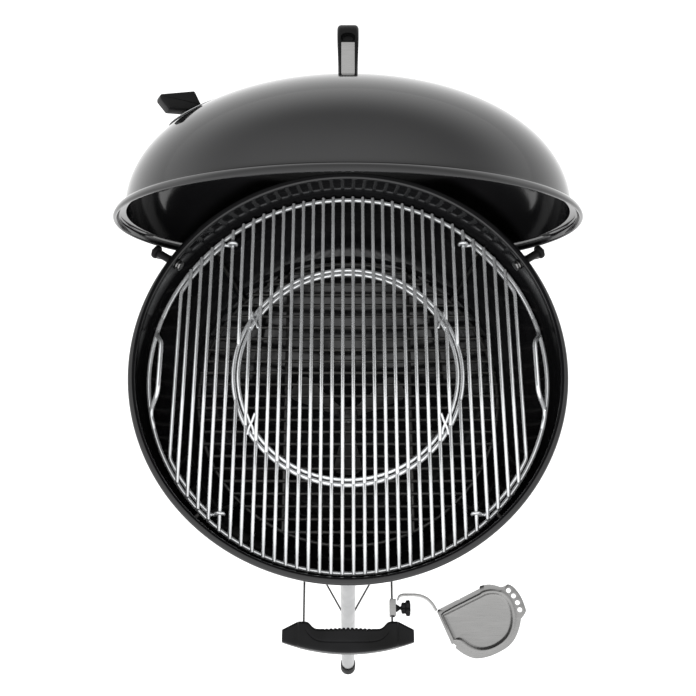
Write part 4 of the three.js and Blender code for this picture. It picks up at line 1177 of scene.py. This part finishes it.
def make_tray():
    holes = []
    for x, y in ((200.4, -290.6), (206.2, -297.2), (210.7, -305.4), (213.0, -314)):
        hole = slab([p.to_2d() for p in circle(2.9, 32, 0, (x, y))], HANDLE_Z - 10, HANDLE_Z + 10, 0.1)
        holes.append(hole)
    piece("side_tray", "probe_tray", skin(tray_rings()), tools=holes, sharp=60)


# ---------------------------------------------------------------- lid rest

def make_sleeve(name, azimuth):
    profile = [(4.1, 283.6), (5.5, 283.6), (5.5, 312)] + arc((5.5, 316), (4, 3), -90, 0, 5)
    profile += [(9.5, 318.6), (8.8, 320), (4.1, 320)]
    place = Matrix.Translation((0, 0, SLEEVE_Z)) @ Matrix.Rotation(math.radians(azimuth), 4, "Z") @ TO_X_AXIS
    piece(f"rest_sleeve_{name}", f"lid_rest_sleeve_{name}", moved(turned(profile, 48), place))
    hexagon = [p.to_2d() for p in circle(7.3, 6)]
    head = slab(softened(hexagon, 0.8, 2), -278.2, -274.6, 0.9)
    washer = turned([(3, -280), (7.6, -280), (7.6, -279.2), (7.2, -278.4), (3, -278.4)], 40)
    shank = turned([(0, -288), (3.1, -288), (3.1, -276), (0, -276)], 24)
    back = Matrix.Rotation(math.radians(180), 4, "X")
    shape = moved(joined([head, washer, shank]), place @ back)
    piece(f"rest_bolt_{name}", f"lid_rest_bolt_{name}", shape)


LID_PLACE = Matrix.Translation(LID_CENTRE) @ Matrix.Rotation(math.radians(LID_LEAN - 90), 4, "X")


def make_cradle():
    """The wire hoop that holds the stowed lid, from sleeve to sleeve."""
    azimuths = (SLEEVE_AZIMUTHS["right"], SLEEVE_AZIMUTHS["left"])
    levels = ((290, SLEEVE_Z), (314, SLEEVE_Z), (323, SLEEVE_Z - 1))
    starts = [[polar(radius, a, z) for radius, z in levels] for a in azimuths]
    hoop_points = []
    first, steps = 27, 48
    for i in range(steps + 1):
        degrees = first + (180 - 2 * first) * i / steps
        depth = math.sin(math.pi * i / steps)
        hoop_points.append(LID_PLACE @ polar(LID_RIM_RADIUS + 9 - 4 * depth, degrees, -12 + 20 * depth))
    path = bent(starts[0] + hoop_points + starts[1][::-1], 5, steps=2)
    piece("cradle_hoop", "lid_cradle_wire", wire(path, 3.6, sides=14))


# ---------------------------------------------------------------- lid

def dome_height(radius, inset=0.0):
    share = min(radius / (DOME_RADIUS - inset), 1.0)
    return DOME_BASE + (DOME_HEIGHT - inset) * (1 - share ** CURVE_POWER) ** (1 / CURVE_POWER)


def dome_curve(inset):
    """From the dome's foot up to its top."""
    points = []
    for i in range(SHELL_STEPS + 1):
        radius = (DOME_RADIUS - inset) * max(math.cos(math.pi / 2 * i / SHELL_STEPS), 0) ** (2 / CURVE_POWER)
        radius = 0.0 if i == SHELL_STEPS else radius
        points.append((radius, dome_height(radius, inset)))
    return points


def damper_place():
    """Puts a shape drawn about the origin, facing up, on the dome at the damper."""
    step = 0.5
    slope = (dome_height(DAMPER_REACH + step) - dome_height(DAMPER_REACH - step)) / (2 * step)
    about = Matrix.Rotation(math.radians(DAMPER_AZIMUTH), 4, "Z")
    there = Matrix.Translation((DAMPER_REACH, 0, dome_height(DAMPER_REACH)))
    return LID_PLACE @ about @ there @ Matrix.Rotation(math.atan(-slope), 4, "Y")


def make_lid():
    rim = LID_RIM_RADIUS
    inside = [(rim - 9.5, 8.6), (rim - 7, 7), (rim - 6, 5), (rim - 5.4, 3)]
    bead = arc((rim - 2.6, 2.6), (2.6, 2.6), 190, 372, 14)
    skirt = [(rim - 0.4, 4.6), (rim - 1.6, 7.2), (rim - 3.8, 9.6), (rim - 6.8, 11.2), (rim - 10, 11.8)]
    skirt += arc((rim - 12.2, 13.6), (2.0, 2.0), -70, -150, 4)
    outer, inner = dome_curve(0), dome_curve(SHEET)
    profile = inner[::-1] + inside + bead + skirt + [point for point in outer if point[1] > 14.6]
    vents = []
    for degrees in (0, 90, 180, 270):
        centre = polar(21, degrees)
        hole = slab([p.to_2d() for p in circle(9, 40, 0, (centre.x, centre.y))], -25, 25, 0.1)
        vents.append(moved(hole, damper_place()))
    piece("kettle_lid", "lid_shell", moved(turned(profile), LID_PLACE), tools=vents)


def make_damper():
    place = damper_place()

    def bend(shape):
        points, faces = shape
        return [Vector((p.x, p.y, p.z - (p.x ** 2 + p.y ** 2) / DAMPER_BEND)) for p in points], faces
    under = [(0, 1.0)] + [(r, 1.0) for r in range(3, DAMPER_RADIUS - 1, 3)] + [(DAMPER_RADIUS - 0.5, 1.0)]
    over = [(DAMPER_RADIUS, 1.5), (DAMPER_RADIUS, 1.9), (DAMPER_RADIUS - 0.5, 2.4)]
    over += [(r, 2.4) for r in range(DAMPER_RADIUS - 2, 2, -3)] + [(0, 2.4)]
    vents = []
    for degrees in (0, 90, 180, 270):
        centre = polar(21, degrees)
        hole = slab([p.to_2d() for p in circle(9.5, 40, 0, (centre.x, centre.y))], -12, 12, 0.1)
        vents.append(moved(hole, place))
    piece("damper_plate", "lid_damper_disc", moved(bend(turned(under + over, 96)), place), tools=vents)
    rivet = [(0, -7), (5.4, -7), (6, -6.4), (6, -5), (3, -5), (3, 7.4), (2.4, 8), (0, 8)]
    piece("damper_pin", "lid_damper_rivet", moved(turned(rivet, 40), place))
    side = softened([(-6.5, 2.7), (11, 2.7), (33.5, 14), (37, 30.5), (34, 34.5), (-7, 22)], 2)
    body = moved(slab(side, -11, 11, 3.2, steps=5), Matrix.Rotation(math.radians(90), 4, "X"))
    ribs = []
    for start, end in (((7, 12.5), (33, 26)), ((9.3, 8.4), (32.6, 21)), ((10.8, 4.9), (31.6, 16))):
        for face in (-10.8, 10.8):
            ribs.append(wire([(start[0], face, start[1]), (end[0], face, end[1])], 1.0, sides=10))
    recess = turned([(0, 2.0), (6.4, 2.0), (6.4, 9), (0, 9)], 40)
    piece("damper_tab", "lid_damper_tab", moved(joined([body, *ribs]), place), tools=[moved(recess, place)])


def lid_grip_outline():
    half, top, foot = LID_HANDLE_HALF, LID_HANDLE_TOP, DOME_BASE + DOME_HEIGHT - 1.5
    pen = Pen(half - 16, foot).line(half - 4, foot).line(half, top - 30)
    pen.bend(half + 2, top - 4, half - 20, top - 1, 14).bend(0, top + 1, 20 - half, top - 1, 14)
    pen.bend(-half - 2, top - 4, -half, top - 30, 14).line(4 - half, foot).line(16 - half, foot)
    pen.line(18 - half, top - 36).bend(20 - half, top - 26, 32 - half, top - 25)
    pen.line(half - 32, top - 25).bend(half - 20, top - 26, half - 18, top - 36)
    return pen.points


def strap_tool(end):
    """The channel up one end of the lid's grip that the strap lies in."""
    half, top, foot = LID_HANDLE_HALF, LID_HANDLE_TOP - 25.5, DOME_BASE + DOME_HEIGHT - 6
    corners = [(half - 36, foot), (half + 10, foot), (half + 10, top), (half - 4, top)]
    corners += [(half - 5.8, foot + 8), (half - 36, foot + 8)]
    outline = [Vector((end * y, z)) for y, z in corners]
    return moved(slab(outline, -9, 9, 0.1), LID_PLACE @ STANDING)


def strap_outline(end):
    half, foot = LID_HANDLE_HALF, DOME_BASE + DOME_HEIGHT - 1
    outer = [(half - 30, foot), (half - 2.8, foot), (half + 0.6, LID_HANDLE_TOP - 30)]
    inner = [(half - 1.8, LID_HANDLE_TOP - 30), (half - 5.2, foot + 2.4), (half - 30, foot + 2.4)]
    return [Vector((end * y, z)) for y, z in outer + inner]


def lid_grip_width(z):
    """Share of the grip's full width at a height: narrowest at its feet."""
    foot, crest = DOME_BASE + DOME_HEIGHT, LID_HANDLE_TOP - 20
    return 0.82 + 0.18 * ease((z - foot) / (crest - foot))


def lid_grip_point(point):
    """Where a point of the grip's plain slab goes: slimmer at the feet, rounder along the top."""
    x = point.x * lid_grip_width(point.z)
    past = max(0.0, point.z - LID_HANDLE_TOP + LID_GRIP_ROUND)
    limit = LID_GRIP_HALF - LID_GRIP_ROUND + half_chord(LID_GRIP_ROUND, past)
    return Vector((max(-limit, min(limit, x)), point.y, point.z))


def mouth_tool(end):
    """The oval opening above a strap's end."""
    middle = Vector((0, end * (LID_HANDLE_HALF + 4), LID_HANDLE_TOP - 23.5))
    ring = [Vector((p.x, p.y, 0)) for p in circle(1, 40)]
    oval = [Vector((p.x * 9.3, 0, p.y * 5.9)) for p in ring]
    rings = [[middle + p * share + Vector((0, end * depth, 0)) for p in oval]
             for share, depth in ((1.0, 6), (1.0, -6), (0.92, -10), (0.7, -12.5))]
    return moved(skin(rings), LID_PLACE)


def make_lid_handle():
    points, faces = moved(slab(lid_grip_outline(), -LID_GRIP_HALF, LID_GRIP_HALF, 5, steps=7), STANDING)
    grip = [lid_grip_point(point) for point in points], faces
    ridges = []
    for i in range(-5, 6):
        y, z = i * 6.0, LID_HANDLE_TOP - 25
        ridges.append(wire([(-8, y, z), (8, y, z)], 1.3, sides=10))
    shape = moved(joined([grip, *ridges]), LID_PLACE)
    tools = [make_tool(end) for make_tool in (strap_tool, mouth_tool) for end in (1, -1)]
    piece("lid_grip", "lid_handle_grip", shape, tools=tools)
    for name, end in (("top", -1), ("bottom", 1)):
        strap = slab(softened(strap_outline(end), 1.0, 3), -8.5, 8.5, 0.7)
        piece(f"lid_strap_{name}", f"lid_handle_strap_{name}", moved(strap, LID_PLACE @ STANDING))


# ---------------------------------------------------------------- the grill

def make_grill():
    make_bowl()
    make_brackets()
    make_cooking_grate()
    make_flap("right", 1)
    make_flap("left", -1)
    make_insert()
    make_charcoal_grate()
    make_blades()
    make_sweeper()
    make_ash_ring()
    make_ash_pan()
    make_ash_bail()
    for name, azimuth in LEG_AZIMUTHS.items():
        make_leg(name, azimuth, 8 if name == "front" else WHEEL_RADIUS - 17)
        make_socket(name, azimuth)
    make_foot_cap()
    make_axle()
    make_wheel("right", 1)
    make_wheel("left", -1)
    make_rack()
    make_grip()
    make_handle_arm("right", 1)
    make_handle_arm("left", -1)
    make_clamp()
    make_knob()
    make_tray_arm()
    make_tray()
    for name, azimuth in SLEEVE_AZIMUTHS.items():
        make_sleeve(name, azimuth)
    make_cradle()
    make_lid()
    make_damper()
    make_lid_handle()


# ---------------------------------------------------------------- studio

def make_floor():
    half = 9.0
    mesh = bpy.data.meshes.new("floor")
    corners = [(-half, -half, 0), (half, -half, 0), (half, half, 0), (-half, half, 0)]
    mesh.from_pydata(corners, [], [(0, 1, 2, 3)])
    floor = bpy.data.objects.new("floor", mesh)
    floor.data.materials.append(pale_floor())
    bpy.context.scene.collection.objects.link(floor)


def make_soft_light(name, place, size, watts):
    light = bpy.data.lights.new(name, "AREA")
    light.size = size
    light.energy = watts
    lamp = bpy.data.objects.new(name, light)
    lamp.location = place
    lamp.rotation_euler = (Vector((0, 0, 0.7)) - Vector(place)).to_track_quat("-Z", "Y").to_euler()
    lamp.visible_camera = False
    lamp.visible_glossy = False
    bpy.context.scene.collection.objects.link(lamp)


def make_world():
    """A white studio, softly brighter overhead in front of the grill and along the horizon."""
    world = bpy.data.worlds.new("white_studio")
    world.use_nodes = True
    tree = world.node_tree
    tree.nodes["Background"].inputs["Color"].default_value = (1, 1, 1, 1)
    direction = tree.nodes.new("ShaderNodeTexCoord").outputs["Generated"]
    toward = tree.nodes.new("ShaderNodeVectorMath")
    toward.operation = "DOT_PRODUCT"
    toward.inputs[1].default_value = Vector((-0.15, -0.6, 0.8)).normalized()
    tree.links.new(direction, toward.inputs[0])
    parts = tree.nodes.new("ShaderNodeSeparateXYZ")
    tree.links.new(direction, parts.inputs[0])
    front = add_range(tree, toward.outputs["Value"], (-0.2, 0.95), (0.84, 1.6), smooth=True)
    haze = add_range(tree, parts.outputs["Z"], (0.0, 0.6), (0.65, 0.0), smooth=True)
    both = tree.nodes.new("ShaderNodeMath")
    tree.links.new(front, both.inputs[0])
    tree.links.new(haze, both.inputs[1])
    tree.links.new(both.outputs["Value"], tree.nodes["Background"].inputs["Strength"])
    bpy.context.scene.world = world


def make_camera():
    """Stands in front of the grill, above it, looking down at the open bowl."""
    lens = bpy.data.cameras.new("camera")
    lens.sensor_width = 36
    lens.lens = 51.67
    camera = bpy.data.objects.new("camera", lens)
    camera.location = TO_FRAME @ Vector((0, -482, 2035))
    camera.rotation_euler = (math.radians(22.22), 0, 0)
    bpy.context.scene.collection.objects.link(camera)
    bpy.context.scene.camera = camera


make_camera()
make_world()
make_floor()
make_soft_light("key_light", (-0.5, -2.5, 3.2), 0.7, 230)
make_grill()
bpy.context.scene.view_settings.view_transform = "Standard"
